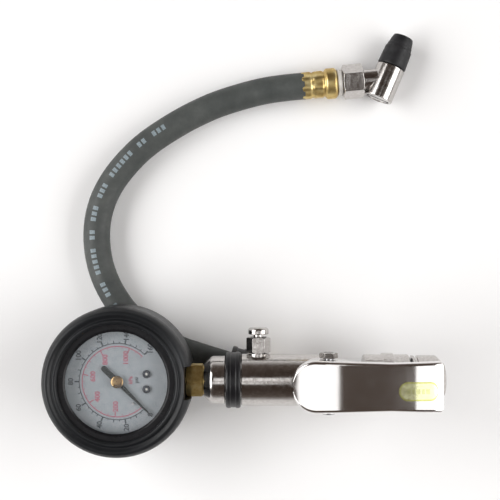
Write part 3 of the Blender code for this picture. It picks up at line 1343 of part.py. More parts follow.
def chuck(neck_s):
    """The chuck: cross body with a threaded neck, end plug, rubber nose, seal, and a sprung depressor."""
    at, out = CHUCK, CHUCK_OUT
    edge = 0.5 * MM
    outline = [
        (0, -CHUCK_BACK),
        (CHUCK_R - edge, -CHUCK_BACK),
        (CHUCK_R, -CHUCK_BACK + edge),
        (CHUCK_R, CHUCK_FRONT - edge),
        (CHUCK_R - edge, CHUCK_FRONT),
        (0, CHUCK_FRONT),
    ]
    body = turned("chuck_body", outline, at, out, chrome(), 28)
    join(body, rod("neck", NECK_THREAD_R, neck_s, CHUCK_S, FERRULE_MOUTH, FERRULE_OUT, sides=24))
    bore = rod("bore", CHUCK_BORE_R, -CHUCK_BACK + CHUCK_PLUG_T, CHUCK_FRONT + CUT_OVER, at, out, sides=24)
    mouth_ends = (-CHUCK_BACK - CUT_OVER, -CHUCK_BACK + CHUCK_PLUG_T + GAP)
    mouth = rod("mouth", CHUCK_PLUG_R + GAP, *mouth_ends, at, out, sides=24)
    feed = rod("feed", BARB_BORE_R, neck_s - CUT_OVER, CHUCK_S, FERRULE_MOUTH, FERRULE_OUT, sides=16)
    cut(body, bore, mouth, feed)
    plug_ends = (-CHUCK_BACK + 0.2 * MM, -CHUCK_BACK + CHUCK_PLUG_T)
    plug = rod("chuck_plug", CHUCK_PLUG_R, *plug_ends, at, out, chrome(), 28)
    place = Matrix.Translation(at) @ axes_to(out)
    wide = 2 * CHUCK_PLUG_R
    slit = [(-wide, -0.6 * MM), (wide, -0.6 * MM), (wide, 0.6 * MM), (-wide, 0.6 * MM)]
    cut(plug, prism("slit", slit, -CHUCK_BACK - CUT_OVER, -CHUCK_BACK + 1.2 * MM, place))
    chuck_nose(at, out)
    flange_t = 1.4 * MM
    tip_t = CHUCK_FRONT + 0.45 * NOSE_LENGTH
    pin = [
        (0, -4.6 * MM),
        (DEPRESSOR_R, -4.6 * MM),
        (DEPRESSOR_R, 0),
        (CHUCK_BORE_R - 0.8 * MM, 0),
        (CHUCK_BORE_R - 0.8 * MM, flange_t),
        (DEPRESSOR_R, flange_t),
        (DEPRESSOR_R, tip_t - 0.4 * MM),
        (DEPRESSOR_R - 0.4 * MM, tip_t),
        (0, tip_t),
    ]
    turned("chuck_pin", pin, at, out, brass(), 16)
    low, high = -CHUCK_BACK + CHUCK_PLUG_T + GAP, -DEPRESSOR_TRAVEL - GAP
    spring("chuck_spring", 2.6 * MM, 0.35 * MM, low, high, 4, at, out)


def chuck_nose(at, out):
    """The tapered rubber nose that presses on the tyre valve, and the seal washer in its throat."""
    base = CHUCK_FRONT + GAP
    tip = base + NOSE_LENGTH
    throat = base + 0.3 * NOSE_LENGTH
    seal_r = NOSE_BORE_R + 0.3 * MM
    slim = 2.6 * MM
    outline = [
        (slim, base - NOSE_SPIGOT),
        (CHUCK_BORE_R - GAP, base - NOSE_SPIGOT),
        (CHUCK_BORE_R - GAP, base),
        (CHUCK_R - 0.2 * MM, base),
        (CHUCK_R, base + 0.5 * MM),
        (CHUCK_R - NOSE_STEP, tip - NOSE_END),
        (CHUCK_R - 2 * NOSE_STEP, tip - NOSE_END + 0.6 * MM),
        (NOSE_TIP_R + 0.5 * MM, tip - 1.4 * MM),
        (NOSE_TIP_R - 0.1 * MM, tip),
        (NOSE_BORE_R, tip),
        (NOSE_BORE_R, throat + 3.4 * MM),
        (seal_r + GAP, throat + 3.4 * MM),
        (seal_r + GAP, throat),
        (slim, throat),
    ]
    turned("chuck_nose", outline, at, out, rubber(), 28)
    seal_low = throat + GAP
    ring("chuck_seal", DEPRESSOR_R + GAP, seal_r, seal_low, seal_low + 2.6 * MM, at, out, seal_rubber(), 24)


def build():
    clear_scene()
    gauge_boot()
    gauge_case()
    gauge_bezel()
    gauge_lens()
    dial_plate()
    gauge_screws()
    gauge_socket()
    restrictor()
    bourdon_tube()
    movement_plates()
    pinion_arbor()
    sector_gear()
    link()
    hairspring()
    pointer()
    end_cap()
    body_band()
    barrel()
    bleed_valve()
    valve_housing()
    valve_pieces()
    inlet()
    lever()
    lever_pin()
    hose_elbow()
    hose_collar()
    hose()
    chuck(chuck_line())


build()
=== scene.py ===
"""The looks of the tyre inflator gauge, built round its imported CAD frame.

Metres, in the CAD's own frame: +X along the body to the air inlet, +Y to the bleed button, and +Z up out of
the dial.
Round pieces are turned again with fine sides and rounded edges at the places that the frame gives.
"""

import json
import math

import bmesh
import bpy
from mathutils import Matrix, Vector


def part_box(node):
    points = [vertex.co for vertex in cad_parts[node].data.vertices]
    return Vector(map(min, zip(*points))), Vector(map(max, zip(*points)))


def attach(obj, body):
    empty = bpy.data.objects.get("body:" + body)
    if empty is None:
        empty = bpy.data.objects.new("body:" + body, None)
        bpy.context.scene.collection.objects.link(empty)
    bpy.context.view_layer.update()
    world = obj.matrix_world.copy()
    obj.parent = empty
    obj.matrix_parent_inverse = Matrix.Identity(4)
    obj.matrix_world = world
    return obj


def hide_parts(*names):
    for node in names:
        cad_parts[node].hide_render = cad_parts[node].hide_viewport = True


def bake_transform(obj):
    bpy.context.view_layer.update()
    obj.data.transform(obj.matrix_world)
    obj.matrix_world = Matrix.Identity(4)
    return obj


MM = 0.001
X_AXIS = Vector((1, 0, 0))
Y_AXIS = Vector((0, 1, 0))
Z_AXIS = Vector((0, 0, 1))

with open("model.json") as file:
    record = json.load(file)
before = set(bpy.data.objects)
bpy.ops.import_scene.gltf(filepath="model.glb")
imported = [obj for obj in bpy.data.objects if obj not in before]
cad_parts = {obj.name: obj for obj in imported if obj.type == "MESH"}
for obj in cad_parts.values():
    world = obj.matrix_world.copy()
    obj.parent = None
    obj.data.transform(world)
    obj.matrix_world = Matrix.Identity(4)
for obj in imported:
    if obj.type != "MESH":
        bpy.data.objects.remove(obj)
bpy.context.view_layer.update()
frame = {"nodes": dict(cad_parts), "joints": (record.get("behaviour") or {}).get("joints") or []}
JOINTS = {joint["name"]: joint for joint in frame["joints"]}


def span(node, axis):
    """A CAD node's lowest and highest value on one axis."""
    low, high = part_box(node)
    return low[axis], high[axis]


def middle(node):
    low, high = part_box(node)
    return (low + high) / 2


def half_width(node, axis):
    """A round CAD node's radius, measured across one axis."""
    low, high = span(node, axis)
    return (high - low) / 2


# Places from the frame
GAUGE = Vector((*middle("gauge_bezel").xy, 0))
BOOT_Z0, BOOT_Z1 = span("gauge_boot", 2)
BEZEL_Z0, BEZEL_Z1 = span("gauge_bezel", 2)
LENS_Z0, LENS_Z1 = span("gauge_lens", 2)
DIAL_Z = span("dial_plate", 2)[1]
BEZEL_R = half_width("gauge_bezel", 0)
BOOT_R = half_width("gauge_boot", 1)
CASE_R = half_width("gauge_case", 1)
LENS_R = half_width("gauge_lens", 1)
DIAL_R = half_width("dial_plate", 1)
AXIS_Z = middle("inlet_bushing").z
BODY = Vector((0, 0, AXIS_Z))
PIN = Vector(JOINTS["lever_pivot"]["pos_m"])
STEM_X = middle("valve_stem").x
FERRULE_OUT = Vector(JOINTS["nut_spin"]["axis"])
CHUCK_OUT = -Vector(JOINTS["chuck_pin_slide"]["axis"])

# Sizes that both scripts use
GAP = 0.3 * MM
HOSE_R = 6.35 * MM
HOSE_Z = 6.4 * MM
FITTING_TURN = math.radians(16)
HOSE_OUT = Vector((-math.cos(FITTING_TURN), math.sin(FITTING_TURN), 0))
COLLAR_R = 9.5 * MM
COLLAR_START = 7.5 * MM
COLLAR_REACH = 15.5 * MM
ELBOW_R = 6.5 * MM
BARB_R = 3.6 * MM
FITTING = Vector((7.0 * MM, 0, COLLAR_R))
FERRULE_MOUTH = Vector((27.0, 137.0, 8.3)) * MM
CHUCK_S = 40.8 * MM  # from the ferrule's mouth to the chuck's axis
CHUCK = FERRULE_MOUTH + FERRULE_OUT * CHUCK_S
BARREL_R = 11.7 * MM
BARREL_BORE_R = 8.0 * MM
BOSS_RISE = 1.2 * MM  # how far the hose's boss stands out of the barrel
PIN_HOLE_R = 2.15 * MM
SOCKET_HEX = 14.0 * MM
STEM_SHOW = 4.7 * MM

# The hose's route, as in the CAD: x, y and the lift over its resting height, in millimetres
HOSE_ROUTE = (
    (-13.0, 5.74, 3.0),
    (-22.0, 8.4, 1.5),
    (-31.0, 11.3, 0.2),
    (-40.0, 15.4, 0.0),
    (-49.0, 21.3, 0.0),
    (-56.3, 28.3, 0.0),
    (-62.2, 36.3, 0.0),
    (-66.8, 45.2, 0.0),
    (-69.8, 55.2, 0.0),
    (-70.8, 66.0, 0.0),
    (-69.6, 76.6, 0.0),
    (-65.8, 87.0, 0.0),
    (-58.8, 97.6, 0.0),
    (-47.5, 109.0, 0.0),
    (-32.0, 119.4, 0.0),
    (-17.0, 127.0, 0.0),
    (-4.2, 131.5, 0.2),
    (8.0, 134.6, 1.1),
    (18.0, 136.1, 1.8),
)


# Materials


def fill_ramp(node, stops):
    """Sets a colour ramp node to (position, colour) stops."""
    elements = node.color_ramp.elements
    while len(elements) < len(stops):
        elements.new(0.5)
    for element, (position, colour) in zip(elements, stops, strict=True):
        element.position = position
        element.color = (*colour, 1)


class Look:
    """A Principled material under construction."""

    def __init__(self, name):
        self.material = bpy.data.materials.new(name)
        self.material.use_nodes = True
        self.nodes = self.material.node_tree.nodes
        self.links = self.material.node_tree.links
        self.shader = self.nodes["Principled BSDF"]
        self.place = self.nodes.new("ShaderNodeTexCoord").outputs["Object"]

    def set(self, **values):
        for name, value in values.items():
            self.shader.inputs[name.replace("_", " ")].default_value = value
        return self

    def noise(self, scale, detail=4.0, stretch=(1, 1, 1), roughness=0.55):
        """A noise of that many cells a metre, squeezed along each axis by stretch."""
        mapping = self.nodes.new("ShaderNodeMapping")
        mapping.inputs["Scale"].default_value = stretch
        texture = self.nodes.new("ShaderNodeTexNoise")
        texture.inputs["Scale"].default_value = scale
        texture.inputs["Detail"].default_value = detail
        texture.inputs["Roughness"].default_value = roughness
        self.links.new(self.place, mapping.inputs["Vector"])
        self.links.new(mapping.outputs["Vector"], texture.inputs["Vector"])
        return texture.outputs["Fac"]

    def ramp(self, fac, stops):
        """A colour ramp through (position, colour) stops."""
        node = self.nodes.new("ShaderNodeValToRGB")
        fill_ramp(node, stops)
        self.links.new(fac, node.inputs["Fac"])
        return node.outputs["Color"]

    def colour(self, fac, *stops):
        self.links.new(self.ramp(fac, stops), self.shader.inputs["Base Color"])
        return self

    def rough(self, fac, low, high):
        """Roughness from low to high as the noise goes from 0.3 to 0.7."""
        node = self.nodes.new("ShaderNodeMapRange")
        for name, value in (("From Min", 0.3), ("From Max", 0.7), ("To Min", low), ("To Max", high)):
            node.inputs[name].default_value = value
        self.links.new(fac, node.inputs["Value"])
        self.links.new(node.outputs["Result"], self.shader.inputs["Roughness"])
        return self

    def bump(self, fac, height, strength=0.5):
        """A bump of that height in metres. Bumps add up."""
        node = self.nodes.new("ShaderNodeBump")
        node.inputs["Strength"].default_value = strength
        node.inputs["Distance"].default_value = height
        self.links.new(fac, node.inputs["Height"])
        under = self.shader.inputs["Normal"].links
        if under:
            self.links.new(under[0].from_socket, node.inputs["Normal"])
        self.links.new(node.outputs["Normal"], self.shader.inputs["Normal"])
        return self


def finished(name, colour, rough, *bumps, **values):
    """A procedural material whose colour, roughness and bumps each follow a noise of their own.

    colour is (noise, stop, stop...), rough is (noise, low, high) and a bump is (noise, height, strength). Each
    noise holds Look.noise's arguments.
    """
    look = Look(name).set(**values)
    look.colour(look.noise(*colour[0]), *colour[1:])
    look.rough(look.noise(*rough[0]), *rough[1:])
    for noise, height, strength in bumps:
        look.bump(look.noise(*noise), height, strength)
    return look.material


def ink(name, dark, light):
    colour = (2500, 3), (0.35, dark), (0.75, light)
    return finished(name, colour, ((1800, 2), 0.4, 0.6), ((5000, 1), 0.004 * MM, 0.2))


def label_film(name, low, high, metal):
    """Tinted film that lets the plating shine through."""
    colour = (500, 5), (0.3, low), (0.7, high)
    bump = (1200, 2), 0.01 * MM, 0.3
    return finished(name, colour, ((900, 3), 0.12, 0.20), bump, Metallic=metal, Specular_IOR_Level=0.4)


# Bright plate with a warm cast, faint polishing lines and handling marks
CHROME = finished(
    "chrome_plate",
    ((90, 3), (0.3, (0.83, 0.81, 0.80)), (0.7, (0.87, 0.85, 0.84))),
    ((260, 5), 0.10, 0.12),
    ((700, 2, (0.15, 1, 1)), 0.008 * MM, 0.25),
    ((60, 1), 0.05 * MM, 0.12),
    Metallic=1.0,
)
# Duller plate: fine turning grain, darker pits and a soft sheen
SATIN = finished(
    "satin_plate",
    ((900, 5), (0.32, (0.44, 0.415, 0.395)), (0.68, (0.60, 0.58, 0.565))),
    ((500, 4, (0.3, 1, 1)), 0.12, 0.24),
    ((1600, 2, (0.3, 1, 1)), 0.010 * MM, 0.3),
    Metallic=1.0,
)
# Turned brass, browner where it has tarnished
BRASS = finished(
    "turned_brass",
    ((240, 6), (0.28, (0.36, 0.23, 0.07)), (0.5, (0.60, 0.45, 0.18)), (0.75, (0.78, 0.67, 0.36))),
    ((700, 3), 0.32, 0.44),
    ((1500, 1, (2, 0.3, 0.3)), 0.012 * MM, 0.25),
    Metallic=1.0,
)
# The pointer's brass cap, gone brown
CAP = finished(
    "cap_brass",
    ((600, 4), (0.3, (0.26, 0.15, 0.07)), (0.7, (0.42, 0.29, 0.13))),
    ((900, 3), 0.24, 0.36),
    Metallic=1.0,
)
BRONZE = finished(
    "drawn_bronze",
    ((300, 5), (0.3, (0.50, 0.28, 0.14)), (0.7, (0.78, 0.50, 0.30))),
    ((1200, 3), 0.25, 0.4),
    ((2600, 2, (0.3, 0.3, 2)), 0.015 * MM, 0.3),
    Metallic=1.0,
)
STEEL = finished(
    "plain_steel",
    ((350, 5), (0.3, (0.40, 0.40, 0.41)), (0.7, (0.62, 0.62, 0.63))),
    ((1500, 3), 0.22, 0.42),
    ((3000, 2), 0.012 * MM, 0.35),
    Metallic=1.0,
)
BLUED = finished(
    "blued_steel",
    ((900, 3), (0.3, (0.015, 0.017, 0.022)), (0.7, (0.05, 0.055, 0.07))),
    ((2000, 3), 0.3, 0.5),
    ((4000, 2), 0.01 * MM, 0.3),
    Metallic=0.9,
)
# Moulded black rubber with a fine pebble and a little pale dust
BOOT = finished(
    "boot_rubber",
    ((55, 6), (0.3, (0.006, 0.007, 0.008)), (0.6, (0.010, 0.011, 0.013)), (0.85, (0.024, 0.026, 0.029))),
    ((500, 5), 0.34, 0.48),
    ((2200, 3), 0.05 * MM, 0.35),
    ((120, 2), 0.10 * MM, 0.2),
    Specular_IOR_Level=0.3,
)
NOSE = finished(
    "nose_rubber",
    ((300, 6), (0.3, (0.005, 0.005, 0.006)), (0.75, (0.020, 0.020, 0.022))),
    ((800, 4), 0.40, 0.62),
    ((2500, 3), 0.04 * MM, 0.4),
    Specular_IOR_Level=0.35,
)
SEAL = finished(
    "seal_rubber",
    ((600, 4), (0.3, (0.018, 0.018, 0.018)), (0.7, (0.05, 0.05, 0.05))),
    ((1500, 3), 0.55, 0.75),
    ((3500, 2), 0.02 * MM, 0.4),
)
# Extruded grey rubber with a faint skin and scuffs
HOSE = finished(
    "hose_rubber",
    (
        (70, 7, (1, 1, 1), 0.65),
        (0.25, (0.040, 0.045, 0.044)),
        (0.5, (0.062, 0.068, 0.065)),
        (0.8, (0.100, 0.106, 0.100)),
    ),
    ((420, 5), 0.48, 0.68),
    ((1700, 3), 0.035 * MM, 0.4),
    ((150, 2), 0.12 * MM, 0.2),
    Specular_IOR_Level=0.4,
)
PLASTIC = finished(
    "black_plastic",
    ((200, 5), (0.3, (0.004, 0.004, 0.005)), (0.8, (0.012, 0.012, 0.014))),
    ((900, 4), 0.26, 0.42),
    ((2600, 2), 0.02 * MM, 0.3),
    Specular_IOR_Level=0.4,
)
PAINT = finished(
    "bezel_paint",
    ((300, 4), (0.3, (0.004, 0.004, 0.005)), (0.8, (0.010, 0.010, 0.012))),
    ((800, 3), 0.25, 0.38),
    ((1500, 2), 0.015 * MM, 0.25),
    Specular_IOR_Level=0.25,
)
NYLON = finished(
    "pale_nylon",
    ((400, 4), (0.3, (0.66, 0.64, 0.60)), (0.7, (0.84, 0.82, 0.78))),
    ((900, 3), 0.38, 0.55),
    ((2000, 2), 0.02 * MM, 0.3),
    Subsurface_Weight=0.1,
    Subsurface_Radius=(0.001, 0.001, 0.001),
)
# Pale blue-grey printed metal with a soft mottle
DIAL = finished(
    "dial_face",
    (
        (420, 5, (1, 1, 1), 0.7),
        (0.3, (0.225, 0.255, 0.275)),
        (0.5, (0.262, 0.290, 0.312)),
        (0.7, (0.310, 0.322, 0.350)),
    ),
    ((1500, 3), 0.42, 0.55),
    ((3500, 2), 0.008 * MM, 0.25),
)
BLACK_INK = ink("black_ink", (0.010, 0.016, 0.022), (0.05, 0.06, 0.075))
RED_INK = ink("red_ink", (0.30, 0.055, 0.095), (0.38, 0.13, 0.18))
POINTER = finished(
    "pointer_black",
    ((900, 3), (0.3, (0.004, 0.005, 0.005)), (0.8, (0.014, 0.016, 0.014))),
    ((2500, 2), 0.35, 0.5),
    ((4000, 1), 0.006 * MM, 0.2),
    Specular_IOR_Level=0.2,
)
# A clear lens: a thin mirror coat over nothing, so what lies under it shows
GLASS = finished(
    "clear_lens",
    ((40, 2), (0.3, (0.86, 0.92, 0.94)), (0.7, (0.92, 0.95, 0.97))),
    ((90, 4), 0.02, 0.05),
    ((25, 1), 0.02 * MM, 0.1),
    Metallic=1.0,
    Alpha=0.025,
)


# Mesh tools


EDGE_ANGLE = math.radians(28)
STILL = Matrix.Identity(4)  # the frame's own axes


def axes_to(direction):
    """The rotation that turns +Z to direction."""
    return Vector(direction).to_track_quat("Z", "Y").to_matrix().to_4x4()


def piece(name, bm, place, look, sharp=40):
    """A linked object from a bmesh, shaded smooth up to the sharp angle, with its flats kept flat."""
    bmesh.ops.recalc_face_normals(bm, faces=bm.faces)
    mesh = bpy.data.meshes.new(name)
    bm.to_mesh(mesh)
    bm.free()
    obj = bpy.data.objects.new(name, mesh)
    bpy.context.scene.collection.objects.link(obj)
    obj.matrix_world = place
    mesh.materials.append(look)
    mesh.shade_smooth()
    mesh.set_sharp_from_angle(angle=math.radians(sharp))
    return obj


def keep_flats(obj):
    """Weighted normals, so a flat stays flat beside its rounded edge."""
    modifier = obj.modifiers.new("Flats", "WEIGHTED_NORMAL")
    modifier.keep_sharp = True
    modifier.weight = 50
    return obj


def rounded(outline, fillet, steps=3):
    """A closed outline with round corners. A point given with a third number has its own fillet."""
    points = []
    for i, corner in enumerate(outline):
        here = Vector(corner[:2])
        size = corner[2] if len(corner) == 3 else fillet
        back = Vector(outline[i - 1][:2]) - here
        ahead = Vector(outline[(i + 1) % len(outline)][:2]) - here
        reach = min(size, back.length * 0.45, ahead.length * 0.45)
        if here.x == 0 or reach <= 0:
            points.append(here)
            continue
        one = here + back.normalized() * reach
        two = here + ahead.normalized() * reach
        for k in range(steps + 1):
            t = k / steps
            points.append((1 - t) ** 2 * one + 2 * t * (1 - t) * here + t**2 * two)
    return points


def turned(name, outline, at, along, look, sides=96, fillet=0.25 * MM, steps=3):
    """A solid turned round the axis through at, from a closed loop of (radius, height along the axis)."""
    bm = bmesh.new()
    rings = []
    for radius, height in rounded(outline, fillet, steps):
        if radius <= 0:
            rings.append([bm.verts.new((0, 0, height))] * sides)
            continue
        angles = [math.tau * i / sides for i in range(sides)]
        circle = [(radius * math.cos(a), radius * math.sin(a), height) for a in angles]
        rings.append([bm.verts.new(point) for point in circle])
    for lower, upper in zip(rings, rings[1:] + rings[:1], strict=True):
        for i in range(sides):
            j = (i + 1) % sides
            corners = list(dict.fromkeys((lower[i], lower[j], upper[j], upper[i])))
            if len(corners) > 2:
                bm.faces.new(corners)
    return keep_flats(piece(name, bm, Matrix.Translation(at) @ axes_to(along), look))


def rod(name, radius, start, end, at, along, look, sides=64, fillet=0.2 * MM):
    outline = [(0, start), (radius, start), (radius, end), (0, end)]
    return turned(name, outline, at, along, look, sides, fillet)


def prism(name, outline, start, end, place, look):
    """An outline in the place's XY plane, extruded along its Z."""
    bm = bmesh.new()
    bottom = [bm.verts.new((x, y, start)) for x, y in outline]
    top = [bm.verts.new((x, y, end)) for x, y in outline]
    bm.faces.new(bottom[::-1])
    bm.faces.new(top)
    for i in range(len(outline)):
        j = (i + 1) % len(outline)
        bm.faces.new((bottom[i], bottom[j], top[j], top[i]))
    return piece(name, bm, place, look)


def oblong(x0, x1, y0, y1):
    return [(x0, y0), (x1, y0), (x1, y1), (x0, y1)]


def arc(radius, start, end, steps, centre=(0, 0)):
    turns = [start + (end - start) * i / steps for i in range(steps + 1)]
    return [(centre[0] + radius * math.cos(t), centre[1] + radius * math.sin(t)) for t in turns]


def soften(obj, width, segments):
    """Bevels the edges that turn by more than EDGE_ANGLE."""
    modifier = obj.modifiers.new("Edges", "BEVEL")
    modifier.width = width
    modifier.segments = segments
    modifier.limit_method = "ANGLE"
    modifier.angle_limit = EDGE_ANGLE
    modifier.use_clamp_overlap = True
    modifier.harden_normals = False
    return obj


def edged(obj, width, segments=2):
    """obj with the edges that its Booleans left sharp rounded to that width."""
    obj.modifiers.clear()
    return keep_flats(soften(obj, width, segments))


def combine(obj, operation, *others):
    """Applies Booleans to obj, one at a time, and removes the other objects."""
    look = obj.data.materials[0]
    obj.modifiers.clear()
    for other in others:
        other.modifiers.clear()
        modifier = obj.modifiers.new(operation.title(), "BOOLEAN")
        modifier.operation = operation
        modifier.solver = "EXACT"
        modifier.object = other
        bpy.context.view_layer.update()
        graph = bpy.context.evaluated_depsgraph_get()
        mesh = bpy.data.meshes.new_from_object(obj.evaluated_get(graph), depsgraph=graph)
        obj.modifiers.clear()
        mesh.materials.clear()
        mesh.materials.append(look)
        obj.data = mesh
        bpy.data.objects.remove(other)
    bm = bmesh.new()
    bm.from_mesh(obj.data)
    bmesh.ops.remove_doubles(bm, verts=bm.verts, dist=0.002 * MM)
    bm.to_mesh(obj.data)
    bm.free()
    obj.data.shade_smooth()
    obj.data.set_sharp_from_angle(angle=math.radians(30))
    return keep_flats(obj)


def cut(obj, *cutters):
    return combine(obj, "DIFFERENCE", *cutters)


def join(obj, *others):
    return combine(obj, "UNION", *others)


def hexagon(name, across, start, end, at, along, look, turn=0):
    """A hexagon bar with both ends chamfered round. turn is where its first corner lies."""
    corner = across / math.sqrt(3)
    place = Matrix.Translation(at) @ axes_to(along)
    nut = prism(name, arc(corner, turn, turn + math.tau * 5 / 6, 5), start, end, place, look)
    rim = across / 2 * 0.985
    drop = (corner - rim) * 0.55
    shape = [
        (0, start),
        (rim, start),
        (corner * 1.01, start + drop),
        (corner * 1.01, end - drop),
        (rim, end),
        (0, end),
    ]
    combine(nut, "INTERSECT", turned("limit", shape, at, along, look, 96, 0))
    return nut


def settle(obj, body, slot, *nodes):
    """obj rides on a body and stands for CAD nodes, which it hides. The slot is not used."""
    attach(obj, body)
    if nodes:
        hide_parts(*nodes)
    return obj


def repaint(look, *nodes):
    """A CAD node whose shape is right keeps it and gets a finished material."""
    for node in nodes:
        mesh = frame["nodes"][node].data
        mesh.materials.clear()
        mesh.materials.append(look)


def coil(node):
    """A steel copy of a CAD spring, in place of the node, which it hides."""
    source = frame["nodes"][node]
    mesh = source.data.copy()
    mesh.transform(source.matrix_world)
    mesh.materials.clear()
    mesh.materials.append(STEEL)
    obj = bpy.data.objects.new(node + "_coil", mesh)
    bpy.context.scene.collection.objects.link(obj)
    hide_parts(node)
    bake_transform(obj)


# Camera, floor and light


def camera():
    """Straight down from half a metre over the bench, as a product photograph is taken."""
    data = bpy.data.cameras.new("camera")
    data.lens = 74.2
    data.sensor_width = 36
    data.clip_start, data.clip_end = 0.01, 20
    obj = bpy.data.objects.new("camera", data)
    obj.location = Vector((2.6, 58.9, 500.0)) * MM
    bpy.context.scene.collection.objects.link(obj)
    bpy.context.scene.camera = obj


def floor():
    look = Look("pale_floor")
    look.colour(look.noise(6, 4), (0.3, (0.93, 0.93, 0.93)), (0.7, (0.96, 0.96, 0.96)))
    look.rough(look.noise(40, 3), 0.75, 0.9)
    bm = bmesh.new()
    bmesh.ops.create_grid(bm, x_segments=2, y_segments=2, size=3)
    piece("floor", bm, STILL, look.material)


CARD_HEIGHT = 1.2
CARD_POWER = 4.1  # watts a square metre


def soft_box(name, at, aim, size, power):
    data = bpy.data.lights.new(name, "AREA")
    data.shape = "RECTANGLE"
    data.size, data.size_y = size
    data.energy = power
    obj = bpy.data.objects.new(name, data)
    obj.location = at
    obj.rotation_mode = "QUATERNION"
    obj.rotation_quaternion = (Vector(aim) - Vector(at)).to_track_quat("-Z", "Y")
    obj.visible_camera = False
    bpy.context.scene.collection.objects.link(obj)


def ceiling_card(name, x_span, y_span):
    """A white card overhead, facing down. The plating mirrors these."""
    width, depth = x_span[1] - x_span[0], y_span[1] - y_span[0]
    at = Vector(((x_span[0] + x_span[1]) / 2, (y_span[0] + y_span[1]) / 2, CARD_HEIGHT))
    soft_box(name, at, at - Z_AXIS, (width, depth), CARD_POWER * width * depth)


def studio():
    """A dim brown room with pale walls low down, white cards overhead and a big soft box on each side."""
    world = bpy.data.worlds.new("studio")
    bpy.context.scene.world = world
    world.use_nodes = True
    nodes, links = world.node_tree.nodes, world.node_tree.links
    place = nodes.new("ShaderNodeTexCoord").outputs["Generated"]
    split = nodes.new("ShaderNodeSeparateXYZ")
    ramp = nodes.new("ShaderNodeValToRGB")
    stops = (
        (0.0, (0.80, 0.79, 0.78)),
        (0.10, (0.45, 0.43, 0.42)),
        (0.26, (0.14, 0.115, 0.10)),
        (0.7, (0.075, 0.056, 0.046)),
        (1.0, (0.050, 0.034, 0.025)),
    )
    fill_ramp(ramp, stops)
    background = nodes["Background"]
    background.inputs["Strength"].default_value = 1.0
    links.new(place, split.inputs["Vector"])
    links.new(split.outputs["Z"], ramp.inputs["Fac"])
    links.new(ramp.outputs["Color"], background.inputs["Color"])
    ceiling_card("card_left", (-0.55, 0.05), (-0.27, -0.06))
    ceiling_card("card_middle", (-0.12, 0.15), (-0.01, 0.30))
    ceiling_card("card_right", (0.29, 1.20), (-0.40, 0.02))
    soft_box("key", (-1.1, 0.1, 0.8), (0, 0.05, 0), (1.6, 0.9), 22)
    soft_box("fill", (1.2, 0.0, 0.8), (0, 0.05, 0), (1.6, 0.9), 17)
    bpy.context.scene.view_settings.view_transform = "Standard"


camera()
floor()
studio()


# Hose


PRINT_SPAN = (0.15, 0.86)
PRINT_GROUPS = (3, 2, 4, 3, 5, 2, 3, 3, 6, 2, 3)
PRINT_LEAN = math.radians(12)
LETTER_LENGTH, LETTER_HEIGHT = 1.7 * MM, 2.6 * MM
LETTER_GAP, WORD_GAP = 0.9 * MM, 3.4 * MM


def running_length(points):
    """The length along the points up to each of them."""
    lengths = [0.0]
    for one, two in zip(points, points[1:], strict=False):
        lengths.append(lengths[-1] + (two - one).length)
    return lengths


def strip_faces(bm, rows):
    """Quads between rows of points."""
    for one, two in zip(rows, rows[1:], strict=False):
        for a, b, c, d in zip(one, one[1:], two[1:], two, strict=False):
            bm.faces.new((a, b, c, d))


def smooth_route(knots, step):
    """Points a step apart along the smooth curve through the given ones."""
    padded = [2 * knots[0] - knots[1], *knots, 2 * knots[-1] - knots[-2]]
    fine = []
    for a, b, c, d in zip(padded, padded[1:], padded[2:], padded[3:], strict=False):
        for k in range(24):
            t = k / 24
            square, cube = 2 * a - 5 * b + 4 * c - d, 3 * b - a - 3 * c + d
            fine.append(0.5 * (2 * b + (c - a) * t + square * t**2 + cube * t**3))
    fine.append(knots[-1])
    lengths = running_length(fine)
    count = round(lengths[-1] / step)
    picked = []
    for k in range(count + 1):
        wanted = lengths[-1] * k / count
        i = max(1, next((n for n, total in enumerate(lengths) if total >= wanted), len(fine) - 1))
        share = (wanted - lengths[i - 1]) / max(lengths[i] - lengths[i - 1], 1e-9)
        picked.append(fine[i - 1].lerp(fine[i], min(1, max(0, share))))
    return picked, lengths[-1]


def hose():
    """The hose as one smooth tube from its collar to its ferrule, with pale printing along its top."""
    start = FITTING + HOSE_OUT * (COLLAR_REACH - 1.5 * MM)
    end = FERRULE_MOUTH + FERRULE_OUT * 1.5 * MM
    knots = [start, *(Vector((x, y, lift)) * MM + Z_AXIS * HOSE_Z for x, y, lift in HOSE_ROUTE), end]
    points, length = smooth_route(knots, 3 * MM)
    curve = bpy.data.curves.new("hose_tube", "CURVE")
    curve.dimensions = "3D"
    curve.bevel_depth = HOSE_R
    curve.bevel_resolution = 14
    curve.use_fill_caps = True
    spline = curve.splines.new("POLY")
    spline.points.add(len(points) - 1)
    for target, point in zip(spline.points, points, strict=True):
        target.co = (*point, 1)
    spline.use_smooth = True
    curve.materials.append(HOSE)
    tube = bpy.data.objects.new("hose_tube", curve)
    bpy.context.scene.collection.objects.link(tube)
    settle(tube, "body", "hose_rubber", "hose")
    printing(points)
    return tube, start, length


